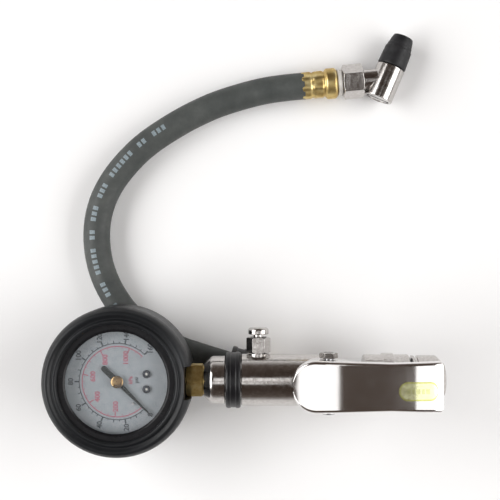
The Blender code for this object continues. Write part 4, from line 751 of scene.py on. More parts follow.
def printing(points):
    """Pale blocks along the hose's upper side, in groups like words."""
    reach = running_length(points)

    def station(along):
        k = max(i for i in range(len(points) - 1) if reach[i] <= along)
        share = (along - reach[k]) / (reach[k + 1] - reach[k])
        return points[k].lerp(points[k + 1], share), (points[k + 1] - points[k]).normalized()

    bm = bmesh.new()
    along = reach[-1] * PRINT_SPAN[0]
    for letters in PRINT_GROUPS:
        for _ in range(letters):
            if along + LETTER_LENGTH > reach[-1] * PRINT_SPAN[1]:
                break
            rows = []
            for share in (0, 0.5, 1):
                here, ahead = station(along + share * LETTER_LENGTH)
                side = Z_AXIS.cross(ahead).normalized()
                turns = [PRINT_LEAN + offset * LETTER_HEIGHT / 2 / HOSE_R for offset in (-1, -0.5, 0, 0.5, 1)]
                outs = [side * math.sin(turn) + Z_AXIS * math.cos(turn) for turn in turns]
                rows.append([bm.verts.new(here + out * (HOSE_R + 0.03 * MM)) for out in outs])
            strip_faces(bm, rows)
            along += LETTER_LENGTH + LETTER_GAP
        along += WORD_GAP
    look = ink("pale_print", (0.16, 0.20, 0.22), (0.30, 0.36, 0.39))
    return settle(piece("hose_print", bm, STILL, look), "body", "hose_rubber")


hose_tube, hose_start, hose_length = hose()


# Gauge head


def boot():
    """The rubber boot with its rolled rim, its open back and the slot that the stem slides into."""
    rim_in = BEZEL_R - 1.6 * MM
    groove = rim_in + 2.6 * MM
    outline = [
        (18.0 * MM, BOOT_Z0, 0.6 * MM),
        (BOOT_R - 2.7 * MM, BOOT_Z0, 1.4 * MM),
        (BOOT_R - 0.4 * MM, BOOT_Z0 + 2.6 * MM, 1.6 * MM),
        (BOOT_R, BOOT_Z0 + 6.0 * MM, 2.0 * MM),
        (BOOT_R, BOOT_Z1 - 5.0 * MM, 2.0 * MM),
        (BOOT_R - 0.6 * MM, BOOT_Z1 - 2.4 * MM, 1.2 * MM),
        (BOOT_R - 2.0 * MM, BOOT_Z1 - 0.5 * MM, 1.0 * MM),
        (groove + 1.9 * MM, BOOT_Z1 - 0.1 * MM, 1.0 * MM),
        (groove + 0.6 * MM, BOOT_Z1 - 1.0 * MM, 0.5 * MM),
        (groove - 0.1 * MM, BOOT_Z1 - 1.2 * MM, 0.4 * MM),
        (groove - 0.8 * MM, BOOT_Z1 - 0.2 * MM, 0.5 * MM),
        (rim_in + 0.8 * MM, BOOT_Z1 - 0.3 * MM, 0.5 * MM),
        (rim_in, BEZEL_Z1 + GAP + 0.5 * MM, 0.5 * MM),
        (rim_in, BEZEL_Z1 + GAP, 0.1 * MM),
        (BEZEL_R + GAP, BEZEL_Z1 + GAP, 0.1 * MM),
        (BEZEL_R + GAP, BEZEL_Z0 - GAP, 0.1 * MM),
        (CASE_R + GAP, BEZEL_Z0 - GAP, 0.1 * MM),
        (CASE_R + GAP, BOOT_Z0 + 2.5 * MM, 0.3 * MM),
        (18.0 * MM, BOOT_Z0 + 2.5 * MM, 0.6 * MM),
    ]
    shell = turned("boot_shell", outline, GAUGE, Z_AXIS, BOOT, 144, steps=4)
    half = SOCKET_HEX / 2 + GAP
    low = AXIS_Z - SOCKET_HEX / math.sqrt(3) - GAP
    start, end = GAUGE.x + BOOT_R - STEM_SHOW + 1.2 * MM, GAUGE.x + BOOT_R + 3 * MM
    plan = oblong(start, end, -half, half)
    slot = prism("slot", plan, low, BOOT_Z1 + MM, STILL, BOOT)
    on_axis = GAUGE + Z_AXIS * AXIS_Z
    cut(shell, slot, rod("neck", 5.2 * MM, CASE_R - 4 * MM, BOOT_R, on_axis, X_AXIS, BOOT, 64, 0))
    edged(shell, 0.35 * MM, 3)
    return settle(shell, "body", "black_rubber", "gauge_boot")


def bezel_and_lens():
    window = DIAL_R - 2.0 * MM
    outline = [
        (CASE_R + GAP, BEZEL_Z0),
        (BEZEL_R, BEZEL_Z0),
        (BEZEL_R, BEZEL_Z1, 0.5 * MM),
        (window + 1.0 * MM, BEZEL_Z1, 0.4 * MM),
        (window, BEZEL_Z1 - 0.8 * MM, 0.2 * MM),
        (CASE_R + GAP, BEZEL_Z1 - 0.8 * MM, 0.1 * MM),
    ]
    settle(turned("bezel_ring", outline, GAUGE, Z_AXIS, PAINT, 128), "body", "black_paint", "gauge_bezel")
    lens = turned(
        "lens_disc",
        [(0, LENS_Z0), (LENS_R, LENS_Z0), (LENS_R, LENS_Z1), (0, LENS_Z1)],
        GAUGE,
        Z_AXIS,
        GLASS,
        128,
        0.5 * MM,
    )
    settle(lens, "body", "clear_lens", "gauge_lens")


FACE_TURN = math.pi / 2  # the dial's own up points to -X
SWEEP = math.radians(270)
ZERO = math.radians(-45)
FULL_PSI, FULL_KPA = 160, 1103


def around(share):
    """The direction on the dial of a share of full scale, clockwise from zero."""
    return ZERO - SWEEP * share


def outward(turn):
    return Vector((math.cos(turn), math.sin(turn), 0))


def stroke(bm, inner, outer, turn, half):
    """A straight tick on the dial, from one radius to another."""
    out = outward(turn)
    side = Vector((-out.y, out.x, 0)) * half
    corners = [out * inner - side, out * outer - side, out * outer + side, out * inner + side]
    bm.faces.new([bm.verts.new(c) for c in corners])


def scale_line(bm, radius, half):
    """A printed arc over the whole scale."""
    steps = 90
    rows = []
    for k in range(steps + 1):
        turn = around(k / steps)
        out = outward(turn)
        rows.append((bm.verts.new(out * (radius - half)), bm.verts.new(out * (radius + half))))
    for (a, b), (c, d) in zip(rows, rows[1:], strict=False):
        bm.faces.new((a, b, d, c))


def figure(bm, text, height, at):
    """Printed figures that stand upright on the dial, centred at a point."""
    curve = bpy.data.curves.new("figure", "FONT")
    curve.body = text
    curve.size = height / 0.7
    curve.align_x = "CENTER"
    curve.align_y = "CENTER"
    curve.offset = height * 0.045
    curve.resolution_u = 3
    holder = bpy.data.objects.new("figure", curve)
    bpy.context.scene.collection.objects.link(holder)
    bpy.context.view_layer.update()
    mesh = bpy.data.meshes.new_from_object(holder.evaluated_get(bpy.context.evaluated_depsgraph_get()))
    mesh.transform(Matrix.Translation(at) @ Matrix.Rotation(FACE_TURN, 4, "Z"))
    bm.from_mesh(mesh)
    bpy.data.objects.remove(holder)
    bpy.data.curves.remove(curve)
    bpy.data.meshes.remove(mesh)


def dial():
    """The printed dial: an outer black scale, an inner red one, unit marks and the plate itself."""
    low, high = span("dial_plate", 2)
    plate = turned(
        "dial_disc",
        [(1.8 * MM, low), (DIAL_R, low), (DIAL_R, high), (1.8 * MM, high)],
        GAUGE,
        Z_AXIS,
        DIAL,
        128,
        0.1 * MM,
    )
    settle(plate, "body", "dial_white", "dial_plate")
    above = Matrix.Translation(GAUGE + Z_AXIS * (DIAL_Z + 0.02 * MM))

    black = bmesh.new()
    scale_r = 17.1 * MM
    scale_line(black, scale_r, 0.19 * MM)
    for k in range(33):
        major, medium = k % 4 == 0, k % 2 == 0
        reach = 2.1 * MM if major else 1.3 * MM if medium else 0.8 * MM
        stroke(black, scale_r, scale_r + reach, around(k / 32), 0.34 * MM if major else 0.20 * MM)
    for value in range(0, FULL_PSI + 1, 20):
        figure(black, str(value), 2.2 * MM, outward(around(value / FULL_PSI)) * 20.9 * MM)
    figure(black, "psi", 1.7 * MM, Vector((8.5 * MM, 0.6 * MM, 0)))
    settle(piece("dial_print_black", black, above, BLACK_INK), "body", "dial_white")

    red = bmesh.new()
    red_r = 15.8 * MM
    scale_line(red, red_r, 0.22 * MM)
    for value in range(0, 1101, 50):
        major = value % 200 == 0
        reach = 2.4 * MM if major else 1.0 * MM
        stroke(red, red_r - reach, red_r, around(value / FULL_KPA), 0.24 * MM if major else 0.12 * MM)
    for value in range(200, 1001, 200):
        figure(red, str(value), 2.2 * MM, outward(around(value / FULL_KPA)) * 11.2 * MM)
    figure(red, "kPa", 1.7 * MM, Vector((5.9 * MM, 0.6 * MM, 0)))
    settle(piece("dial_print_red", red, above, RED_INK), "body", "dial_white")


def dial_screws():
    """Dark pan heads, each with a pale disc in its recess as a painted glint."""
    for k in (1, 2):
        name = f"dial_screw_{k}"
        low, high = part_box(name)
        at = Vector((*middle(name).xy, 0))
        head = (high.x - low.x) / 2
        top = high.z
        outline = [
            (0, low.z),
            (1.1 * MM, low.z),
            (1.1 * MM, DIAL_Z + GAP),
            (head, DIAL_Z + GAP),
            (head, top - 0.25 * MM, 0.2 * MM),
            (head * 0.8, top, 0.2 * MM),
            (head * 0.42, top, 0.1 * MM),
            (head * 0.36, top - 0.5 * MM, 0.1 * MM),
            (0, top - 0.55 * MM),
        ]
        screw = turned(f"screw_head_{k}", outline, at, Z_AXIS, BLUED, 48, 0.1 * MM)
        settle(screw, "body", "blued_steel", name)
        # A pale disc in each head's recess: a painted glint.
        painted_glint = [
            (0, top - 0.54 * MM),
            (head * 0.34, top - 0.5 * MM),
            (head * 0.2, top - 0.32 * MM),
            (0, top - 0.28 * MM),
        ]
        settle(turned(f"screw_painted_glint_{k}", painted_glint, at, Z_AXIS, NYLON, 32, 0), "body", "pale_nylon")


def pointer():
    """The pressed pointer and its domed brass cap."""
    low, high = span("pointer", 2)
    place = Matrix.Translation(GAUGE) @ Matrix.Rotation(ZERO, 4, "Z")
    eye, tip, tail = 2.55 * MM, 22.0 * MM, 9.6 * MM
    broad, narrow, point = 1.3 * MM, 0.95 * MM, 0.16 * MM
    outline = [
        (tip, -point),
        (tip + 0.3 * MM, 0),
        (tip, point),
        (eye + 0.5 * MM, narrow),
        *arc(eye, math.radians(22), math.radians(150), 12),
        *arc(broad, math.pi / 2, math.pi * 1.5, 14, (-tail + broad, 0)),
        *arc(eye, math.radians(210), math.radians(338), 12),
        (eye + 0.5 * MM, -narrow),
    ]
    needle = prism("pointer_needle", outline, low, high, place, POINTER)
    cut(needle, rod("eye", 1.75 * MM, low - MM, high + MM, GAUGE, Z_AXIS, POINTER, 48, 0))
    edged(needle, 0.09 * MM)
    settle(needle, "pointer", "pointer_black", "pointer")
    low, high = span("pointer_hub", 2)
    radius = half_width("pointer_hub", 0)
    rim = high - 0.75 * MM
    spring_line = rim + 0.2 * MM
    turns = [math.radians(12 * k) for k in range(8)]
    dome = [(radius * math.cos(turn), spring_line + (high - spring_line) * math.sin(turn)) for turn in turns]
    outline = [
        (1.0 * MM, low),
        (1.45 * MM, low),
        (1.45 * MM, rim),
        (radius, rim),
        *dome,
        (0, high),
        (0, high - 0.3 * MM),
        (1.0 * MM, high - 0.3 * MM),
    ]
    settle(turned("pointer_cap", outline, GAUGE, Z_AXIS, CAP, 64, 0.05 * MM), "pointer", "brass", "pointer_hub")


def socket():
    """The brass stem between the boot and the end cap: wrench flats, a groove and the first of its thread."""
    thread_end = span("gauge_socket", 0)[1] - GAUGE.x
    low, high = span("gauge_case", 2)[0] + 1.0 * MM + GAP, span("dial_plate", 2)[0] - GAP
    on_axis = GAUGE + Z_AXIS * AXIS_Z
    cap_face = span("end_cap", 0)[0] - GAUGE.x
    start, end = BOOT_R - STEM_SHOW + 1.5 * MM, cap_face - GAP
    block_end = 24.5 * MM
    block = oblong(9.0 * MM, block_end, -5.5 * MM, 5.5 * MM)
    body = prism("stem_block", block, low, high, Matrix.Translation(GAUGE), BRASS)
    parts = [
        rod("neck", 4.9 * MM, block_end - 2 * MM, start + 1 * MM, on_axis, X_AXIS, BRASS, 64, 0),
        hexagon("flats", SOCKET_HEX, start, end, on_axis, X_AXIS, BRASS, math.pi / 6),
        rod("thread", 6.6 * MM, end - 1 * MM, thread_end, on_axis, X_AXIS, BRASS, 64, 0.4 * MM),
    ]
    join(body, *parts)
    edged(body, 0.25 * MM, 3)
    settle(body, "body", "brass", "gauge_socket")


# Body


def end_cap():
    x0, x1 = span("end_cap", 0)
    band = span("body_band", 0)[0] - GAP
    outline = [
        (6.9 * MM, x0, 0.1 * MM),
        (7.5 * MM, x0, 0.3 * MM),
        (10.5 * MM, x0 + 3.3 * MM, 0.5 * MM),
        (10.8 * MM, x0 + 4.3 * MM, 0.4 * MM),
        (10.8 * MM, band, 0.35 * MM),
        (BARREL_BORE_R - GAP, band, 0.1 * MM),
        (BARREL_BORE_R - GAP, x1),
        (3.0 * MM, x1),
        (3.0 * MM, x0 + 12.3 * MM),
        (6.9 * MM, x0 + 12.3 * MM),
    ]
    settle(turned("cap_shell", outline, BODY, X_AXIS, SATIN, 128), "body", "chrome", "end_cap")


def body_band():
    x0, x1 = span("body_band", 0)
    radius = half_width("body_band", 1)
    outline = [
        (BARREL_BORE_R, x0),
        (radius - 0.5 * MM, x0, 0.5 * MM),
        (radius, x0 + 0.8 * MM, 0.5 * MM),
        (radius, x0 + 2.0 * MM, 0.2 * MM),
        (radius - 0.3 * MM, x0 + 2.3 * MM, 0.2 * MM),
        (radius - 0.3 * MM, x1 - 2.3 * MM, 0.2 * MM),
        (radius, x1 - 2.0 * MM, 0.2 * MM),
        (radius, x1 - 0.8 * MM, 0.5 * MM),
        (radius - 0.5 * MM, x1, 0.5 * MM),
        (BARREL_BORE_R, x1),
    ]
    settle(turned("band_ring", outline, BODY, X_AXIS, PLASTIC, 128), "body", "black_plastic", "body_band")


def barrel():
    """The main tube with the lever's lugs and its two bosses."""
    x0, x1 = span("barrel", 0)
    half = 9.55 * MM
    lug_r = 5.2 * MM
    outline = [
        (0, x0),
        (BARREL_R, x0, 0.5 * MM),
        (BARREL_R, x1, 0.5 * MM),
        (0, x1),
    ]
    tube = turned("barrel_shell", outline, BODY, X_AXIS, SATIN, 128)
    base = PIN.z - AXIS_Z - BARREL_BORE_R + 2 * MM
    side_on = Matrix.Translation(PIN) @ Matrix.Rotation(math.pi / 2, 4, "X")
    plan = arc(lug_r, 0, math.pi, 24) + [(-lug_r - 1.2 * MM, -base), (lug_r * 0.9, -base)]
    bleed_at = Vector((middle("bleed_body").x, 0, AXIS_Z))
    bleed_foot = span("bleed_button", 1)[0] + 5.6 * MM
    under = Vector((FITTING.x, 0, AXIS_Z))
    join(
        tube,
        prism("lug", plan, -half, half, side_on, SATIN),
        rod("bleed_boss", 4.9 * MM, BARREL_R * 0.6, bleed_foot - GAP, bleed_at, Y_AXIS, SATIN, 64, 0),
        rod("port_boss", 6.7 * MM, BARREL_R * 0.6, BARREL_R + BOSS_RISE, under, -Z_AXIS, SATIN, 64, 0),
    )
    slot_low = AXIS_Z + BARREL_R + 0.8 * MM
    slot = oblong(PIN.x - 16 * MM, PIN.x + 16 * MM, -4.5 * MM, 4.5 * MM)
    cut(
        tube,
        rod("bore", BARREL_BORE_R, x0 - MM, x1 + MM, BODY, X_AXIS, SATIN, 96, 0),
        rod("pin", PIN_HOLE_R, -BARREL_R - MM, BARREL_R + MM, PIN, Y_AXIS, SATIN, 48, 0),
        prism("slot", slot, slot_low, PIN.z + 12 * MM, STILL, SATIN),
        rod("bleed", 3.2 * MM, 0, 16 * MM, bleed_at, Y_AXIS, SATIN, 48, 0),
        rod("port", 5.2 * MM, 0, BARREL_R + 3 * MM, under, -Z_AXIS, SATIN, 48, 0),
    )
    edged(tube, 0.25 * MM)
    settle(tube, "body", "chrome", "barrel")


def bleed_valve():
    low, high = span("bleed_body", 1)
    foot = low + 3.6 * MM
    at = Vector((middle("bleed_body").x, 0, AXIS_Z))
    body = hexagon("bleed_hexagon", 9.45 * MM, foot, high, at, Y_AXIS, SATIN)
    join(body, rod("spigot", 2.9 * MM, low, foot + MM, at, Y_AXIS, SATIN, 48, 0))
    cut(
        body,
        rod("bore", 1.7 * MM, low - MM, high + MM, at, Y_AXIS, SATIN, 32, 0),
        rod("pocket", 3.7 * MM, high - 4.6 * MM, high + MM, at, Y_AXIS, SATIN, 48, 0),
    )
    edged(body, 0.16 * MM)
    settle(body, "body", "chrome", "bleed_body")
    start, end = span("bleed_button", 1)
    cap = end - 3.2 * MM
    button = [
        (0, start),
        (1.0 * MM, start),
        (1.0 * MM, low, 0.05 * MM),
        (1.4 * MM, low, 0.05 * MM),
        (1.4 * MM, high - 3.1 * MM),
        (2.2 * MM, high - 3.1 * MM),
        (2.2 * MM, cap),
        (4.65 * MM, cap, 0.4 * MM),
        (4.65 * MM, end - 1.0 * MM, 0.5 * MM),
        (3.9 * MM, end - 0.15 * MM, 0.5 * MM),
        (0, end),
    ]
    settle(turned("bleed_cap", button, at, Y_AXIS, SATIN, 80), "bleed_button", "chrome", "bleed_button")


def valve_housing():
    x0, x1 = span("valve_housing", 0)
    body_x0 = span("barrel", 0)[1] + 11.8 * MM
    body_x1 = span("inlet_bushing", 0)[0] - 1.2 * MM
    z0, z1 = span("valve_housing", 2)
    rib = 2.95 * MM
    neck = BARREL_BORE_R - GAP
    outline = [
        (0, x0),
        (neck, x0, 0.3 * MM),
        (neck, body_x0, 0.2 * MM),
        (11.5 * MM, body_x0, 0.7 * MM),
        (11.5 * MM, STEM_X - rib, 0.3 * MM),
        (12.2 * MM, STEM_X - rib + 0.7 * MM, 0.4 * MM),
        (12.2 * MM, STEM_X + rib - 0.7 * MM, 0.4 * MM),
        (11.5 * MM, STEM_X + rib, 0.3 * MM),
        (11.5 * MM, body_x1, 0.7 * MM),
        (7.0 * MM, body_x1, 0.1 * MM),
        (7.0 * MM, x1),
        (0, x1),
    ]
    housing = turned("housing_shell", outline, BODY, X_AXIS, SATIN, 128)
    at = Vector((STEM_X, 0, AXIS_Z))
    rise, drop = z1 - AXIS_Z, AXIS_Z - z0
    join(
        housing,
        rod("upper", 6.6 * MM, 0, rise, at, Z_AXIS, SATIN, 64, 0.4 * MM),
        rod("lower", 8.4 * MM, 0, drop, at, -Z_AXIS, SATIN, 64, 0.4 * MM),
    )
    cut(
        housing,
        rod("blind", 4.5 * MM, x0 - MM, body_x0 + 2 * MM, BODY, X_AXIS, SATIN, 64, 0),
        rod("inlet", 4.5 * MM, STEM_X + 5 * MM, x1 + MM, BODY - Z_AXIS * MM, X_AXIS, SATIN, 64, 0),
        rod("chamber", 6.0 * MM, -drop - MM, 1.3 * MM, at, Z_AXIS, SATIN, 64, 0),
        rod("guide", 2.5 * MM, 0, rise + MM, at, Z_AXIS, SATIN, 48, 0),
        rod("pocket", 4.2 * MM, rise - 3.3 * MM, rise + MM, at, Z_AXIS, SATIN, 48, 0),
    )
    edged(housing, 0.3 * MM)
    settle(housing, "body", "chrome", "valve_housing")


def valve_fittings():
    """The gland, the stem and the hexagon plug under the valve."""
    at = Vector((STEM_X, 0, 0))
    low, high = span("stem_gland", 2)
    step = low + 1.6 * MM
    gland = [
        (2.5 * MM, low),
        (3.9 * MM, low),
        (3.9 * MM, step),
        (5.6 * MM, step, 0.2 * MM),
        (5.6 * MM, high, 0.4 * MM),
        (3.2 * MM, high, 0.2 * MM),
        (2.5 * MM, high - 0.5 * MM, 0.1 * MM),
    ]
    settle(turned("gland_nut", gland, at, Z_AXIS, BRASS, 72), "body", "brass", "stem_gland")
    low, high = span("valve_stem", 2)
    stem = [
        (0, low),
        (4.5 * MM, low, 0.2 * MM),
        (4.5 * MM, low + 1.2 * MM, 0.2 * MM),
        (2.2 * MM, low + 1.2 * MM, 0.1 * MM),
        (2.2 * MM, high - 0.9 * MM, 0.4 * MM),
        (1.3 * MM, high - 0.05 * MM, 0.4 * MM),
        (0, high),
    ]
    settle(turned("stem_rod", stem, at, Z_AXIS, STEEL, 64), "valve_stem", "steel", "valve_stem")
    low, high = span("valve_plug", 2)
    head = low + 4.5 * MM
    plug = hexagon("plug_hexagon", 17.0 * MM, low, head, at, Z_AXIS, SATIN)
    join(plug, rod("spigot", 5.7 * MM, head - MM, high, at, Z_AXIS, SATIN, 64, 0.3 * MM))
    edged(plug, 0.2 * MM)
    settle(plug, "body", "chrome", "valve_plug")


def inlet():
    """The inlet bushing: grooved collar, tapered end and a threaded port."""
    x0, x1 = span("inlet_bushing", 0)
    radius = half_width("inlet_bushing", 2)
    port = x1 - 7.4 * MM
    tail_end = span("valve_housing", 0)[1]
    pitch = 1.1 * MM
    thread = []
    at = x1 - 0.9 * MM
    while at - pitch > port + 0.8 * MM:
        thread += [(6.02 * MM, at, 0.05 * MM), (6.5 * MM, at - pitch / 2, 0.05 * MM)]
        at -= pitch
    outline = [
        (7.0 * MM + GAP, x0),
        (radius, x0, 0.3 * MM),
        (radius, x0 + 1.0 * MM, 0.2 * MM),
        (radius - 0.9 * MM, x0 + 1.3 * MM, 0.2 * MM),
        (radius - 0.9 * MM, x0 + 2.3 * MM, 0.2 * MM),
        (radius, x0 + 2.6 * MM, 0.3 * MM),
        (radius, x1 - 3.8 * MM, 0.8 * MM),
        (7.4 * MM, x1, 0.3 * MM),
        (6.5 * MM, x1, 0.1 * MM),
        *thread,
        (6.02 * MM, at, 0.05 * MM),
        (6.02 * MM, port),
        (4.5 * MM, port),
        (4.5 * MM, tail_end + GAP),
        (7.0 * MM + GAP, tail_end + GAP),
    ]
    settle(turned("inlet_shell", outline, BODY, X_AXIS, SATIN, 128), "body", "chrome", "inlet_bushing")


# Lever

LEVER_X0, LEVER_X1 = span("lever", 0)
LABEL_LIFT = 0.11 * MM  # the label lies on the plate, and its top is the lever's highest point
LEVER_Z = AXIS_Z + 28.0 * MM - LABEL_LIFT
LEVER_T = 1.2 * MM
LEVER_CORNER = 10.0 * MM
LEVER_FRONT_CORNER = 1.2 * MM
LEVER_LEVEL = (PIN.x + 7.0 * MM, PIN.x + 36.0 * MM)
LEVER_START = PIN.x - 15.8 * MM
LEVER_LENGTH = LEVER_X1 - LEVER_START


def lever_top(x):
    """The height of the lever plate's top at x: level in the middle, falling away at both ends."""
    back, front = LEVER_LEVEL
    if x < back:
        return LEVER_Z - 3.2 * MM * ((back - x) / (back - LEVER_START)) ** 2
    if x > front:
        return LEVER_Z - 2.0 * MM * ((x - front) / (LEVER_X1 - front)) ** 2
    return LEVER_Z


def lever_half(x):
    """Half the lever's width at x."""
    share = (x - LEVER_START) / LEVER_LENGTH
    half = 11.7 * MM - 1.2 * MM * min(1, share / 0.65) + 0.6 * MM * max(0, share - 0.65) / 0.35
    for near, corner in ((x - LEVER_START, LEVER_CORNER), (LEVER_X1 - x, LEVER_FRONT_CORNER)):
        if near < corner:
            half -= corner - math.sqrt(max(0, corner**2 - (corner - near) ** 2))
    return half


def lever_skirt(x):
    """How far the turned-down edge hangs below the plate's top, with an ear at the pin."""
    ear = lever_top(PIN.x) - PIN.z + 4.5 * MM
    away = max(0, abs(x - PIN.x) - 4.5 * MM) / (7.2 * MM)
    bump = 0.5 + 0.5 * math.cos(math.pi * min(1, away))
    return 3.6 * MM + (ear - 3.6 * MM) * bump


def lever():
    """The pressed lever, swept along X as a channel with a rolled edge."""
    corner = LEVER_CORNER
    start = LEVER_X0
    near = [LEVER_START + corner * (1 - math.cos(math.pi / 2 * k / 16)) for k in range(1, 17)]
    near = [start] + [x for x in near if x > start + 0.02 * MM]
    count = 70
    front = LEVER_X1 - LEVER_FRONT_CORNER
    rest = [near[-1] + (front - near[-1]) * (k + 1) / count for k in range(count)]
    tail = [front + LEVER_FRONT_CORNER * math.sin(math.pi / 2 * k / 8) for k in range(1, 9)]

    def section(x):
        half, top = lever_half(x), lever_top(x)
        foot = top - lever_skirt(x)
        bend = min(1.6 * MM, half * 0.5)

        def side(width, height, radius):
            turns = [math.pi / 2 * k / 7 for k in range(8)]
            bend_y, bend_z = width - radius, height - radius
            curve = [(bend_y + radius * math.sin(t), bend_z + radius * math.cos(t)) for t in turns]
            return [(0, height), *curve, (width, foot + 0.15 * MM)]

        outer = side(half, top, bend)
        inner = side(half - LEVER_T, top - LEVER_T, max(bend - LEVER_T, 0.4 * MM))
        lip = [(half - 0.25 * MM, foot - 0.05 * MM), (half - LEVER_T + 0.25 * MM, foot - 0.05 * MM)]
        right = outer[1:] + lip + inner[:0:-1]
        left = [(-y, z) for y, z in right]
        return [outer[0], *right, inner[0], *left[::-1]]

    bm = bmesh.new()
    loops = [[bm.verts.new((x, y, z)) for y, z in section(x)] for x in near + rest + tail]
    size = len(loops[0])
    bm.faces.new(loops[0])
    bm.faces.new(loops[-1])
    for one, two in zip(loops, loops[1:], strict=False):
        for i in range(size):
            j = (i + 1) % size
            bm.faces.new((one[i], one[j], two[j], two[i]))
    plate = piece("lever_plate", bm, STILL, CHROME, 32)
    cut(plate, rod("hole", PIN_HOLE_R, -13 * MM, 13 * MM, PIN, Y_AXIS, CHROME, 48, 0))
    settle(plate, "lever", "chrome", "lever")


def label():
    """The sticker on the lever as a plain pill: a dark edge, a yellow-green field and a few bars."""
    x0, x1 = LEVER_X1 - 19.4 * MM, LEVER_X1 - 1.9 * MM
    y0, y1 = -5.7 * MM, 2.5 * MM
    edge = label_film("label_edge", (0.62, 0.63, 0.22), (0.74, 0.74, 0.30), 0.88)
    field = label_film("label_field", (0.86, 0.88, 0.50), (0.93, 0.94, 0.60), 0.90)
    bars = label_film("label_bars", (0.70, 0.72, 0.34), (0.78, 0.79, 0.42), 0.90)

    def pill(name, inset, lift, look):
        radius = (y1 - y0) / 2 - inset
        middle_y = (y0 + y1) / 2
        left, right = x0 + inset + radius, x1 - inset - radius
        rows = []
        count = 48
        for k in range(count + 1):
            x = left - radius + (right - left + 2 * radius) * k / count
            over = max(0, left - x, x - right)
            half = math.sqrt(max(radius**2 - over**2, 0))
            rows.append((x, half))
        bm = bmesh.new()
        strips = []
        for x, half in rows:
            z = lever_top(x) + lift
            strips.append([bm.verts.new((x, middle_y + half * s, z)) for s in (-1, -0.5, 0, 0.5, 1)])
        strip_faces(bm, strips)
        bmesh.ops.remove_doubles(bm, verts=bm.verts, dist=0.005 * MM)
        settle(piece(name, bm, STILL, look), "lever", "chrome")

    pill("label_rim", 0, 0.04 * MM, edge)
    pill("label_pill", 0.7 * MM, 0.07 * MM, field)
    bm = bmesh.new()
    widths = (1.6, 1.1, 1.9, 1.3, 1.7)
    x = x0 + 3.4 * MM
    for width in widths:
        wide = width * MM
        corners = oblong(x, x + wide, -2.7 * MM, -0.5 * MM)
        bm.faces.new([bm.verts.new((cx, cy, lever_top(cx) + 0.1 * MM)) for cx, cy in corners])
        x += wide + 0.6 * MM
    settle(piece("label_marks", bm, STILL, bars), "lever", "chrome")


def lever_pin():
    low, high = span("lever_pin", 1)
    outline = [
        (0, low - PIN.y),
        (2.6 * MM, low, 0.4 * MM),
        (3.0 * MM, low + 0.5 * MM, 0.2 * MM),
        (3.0 * MM, low + 1.2 * MM, 0.1 * MM),
        (1.85 * MM, low + 1.2 * MM, 0.05 * MM),
        (1.85 * MM, high - 0.4 * MM, 0.3 * MM),
        (1.3 * MM, high, 0.2 * MM),
        (0, high),
    ]
    settle(turned("pivot_pin", outline, PIN, Y_AXIS, STEEL, 64), "body", "steel", "lever_pin")
    low, high = span("lever_nut", 1)
    nut = hexagon("pivot_nut", 7.0 * MM, low, high, PIN, Y_AXIS, SATIN)
    cut(nut, rod("hole", 2.1 * MM, low - MM, high + MM, PIN, Y_AXIS, SATIN, 48, 0))
    edged(nut, 0.12 * MM)
    settle(nut, "body", "chrome", "lever_nut")


# Hose fittings


def elbow_and_collar():
    low, high = span("hose_elbow", 2)
    upright = Vector((FITTING.x, 0, 0))
    shoulder = AXIS_Z - BARREL_R - BOSS_RISE - GAP
    outline = [
        (0, low),
        (ELBOW_R, low, 1.2 * MM),
        (ELBOW_R, shoulder, 0.4 * MM),
        (4.9 * MM, shoulder, 0.1 * MM),
        (4.9 * MM, high),
        (0, high),
    ]
    elbow = turned("elbow_body", outline, upright, Z_AXIS, BRASS, 80)
    end = COLLAR_REACH - 0.6 * MM
    barb = [
        (0, 0),
        (ELBOW_R - 0.6 * MM, 0, 0),
        (ELBOW_R - 0.6 * MM, 7.2 * MM, 0.4 * MM),
        (BARB_R, 7.2 * MM, 0.1 * MM),
        (BARB_R, end - 3.6 * MM, 0.1 * MM),
        (BARB_R + 0.7 * MM, end - 3.6 * MM, 0.2 * MM),
        (BARB_R - 0.2 * MM, end, 0.2 * MM),
        (0, end),
    ]
    join(elbow, turned("barb", barb, FITTING, HOSE_OUT, BRASS, 72))
    edged(elbow, 0.3 * MM)
    settle(elbow, "body", "brass", "hose_elbow")
    collar = [
        (BARB_R + GAP, COLLAR_START),
        (COLLAR_R, COLLAR_START, 1.0 * MM),
        (COLLAR_R, COLLAR_START + 2.2 * MM, 0.3 * MM),
        (COLLAR_R - 0.45 * MM, COLLAR_START + 2.6 * MM, 0.3 * MM),
        (COLLAR_R - 0.45 * MM, COLLAR_REACH - 2.6 * MM, 0.3 * MM),
        (COLLAR_R, COLLAR_REACH - 2.2 * MM, 0.3 * MM),
        (COLLAR_R, COLLAR_REACH, 0.8 * MM),
        (HOSE_R + 0.15 * MM, COLLAR_REACH, 0.3 * MM),
        (HOSE_R + 0.15 * MM, COLLAR_START + 1.5 * MM),
        (BARB_R + GAP, COLLAR_START + 1.5 * MM),
    ]
    settle(turned("collar_cup", collar, FITTING, HOSE_OUT, PLASTIC, 96), "body", "black_plastic", "hose_collar")


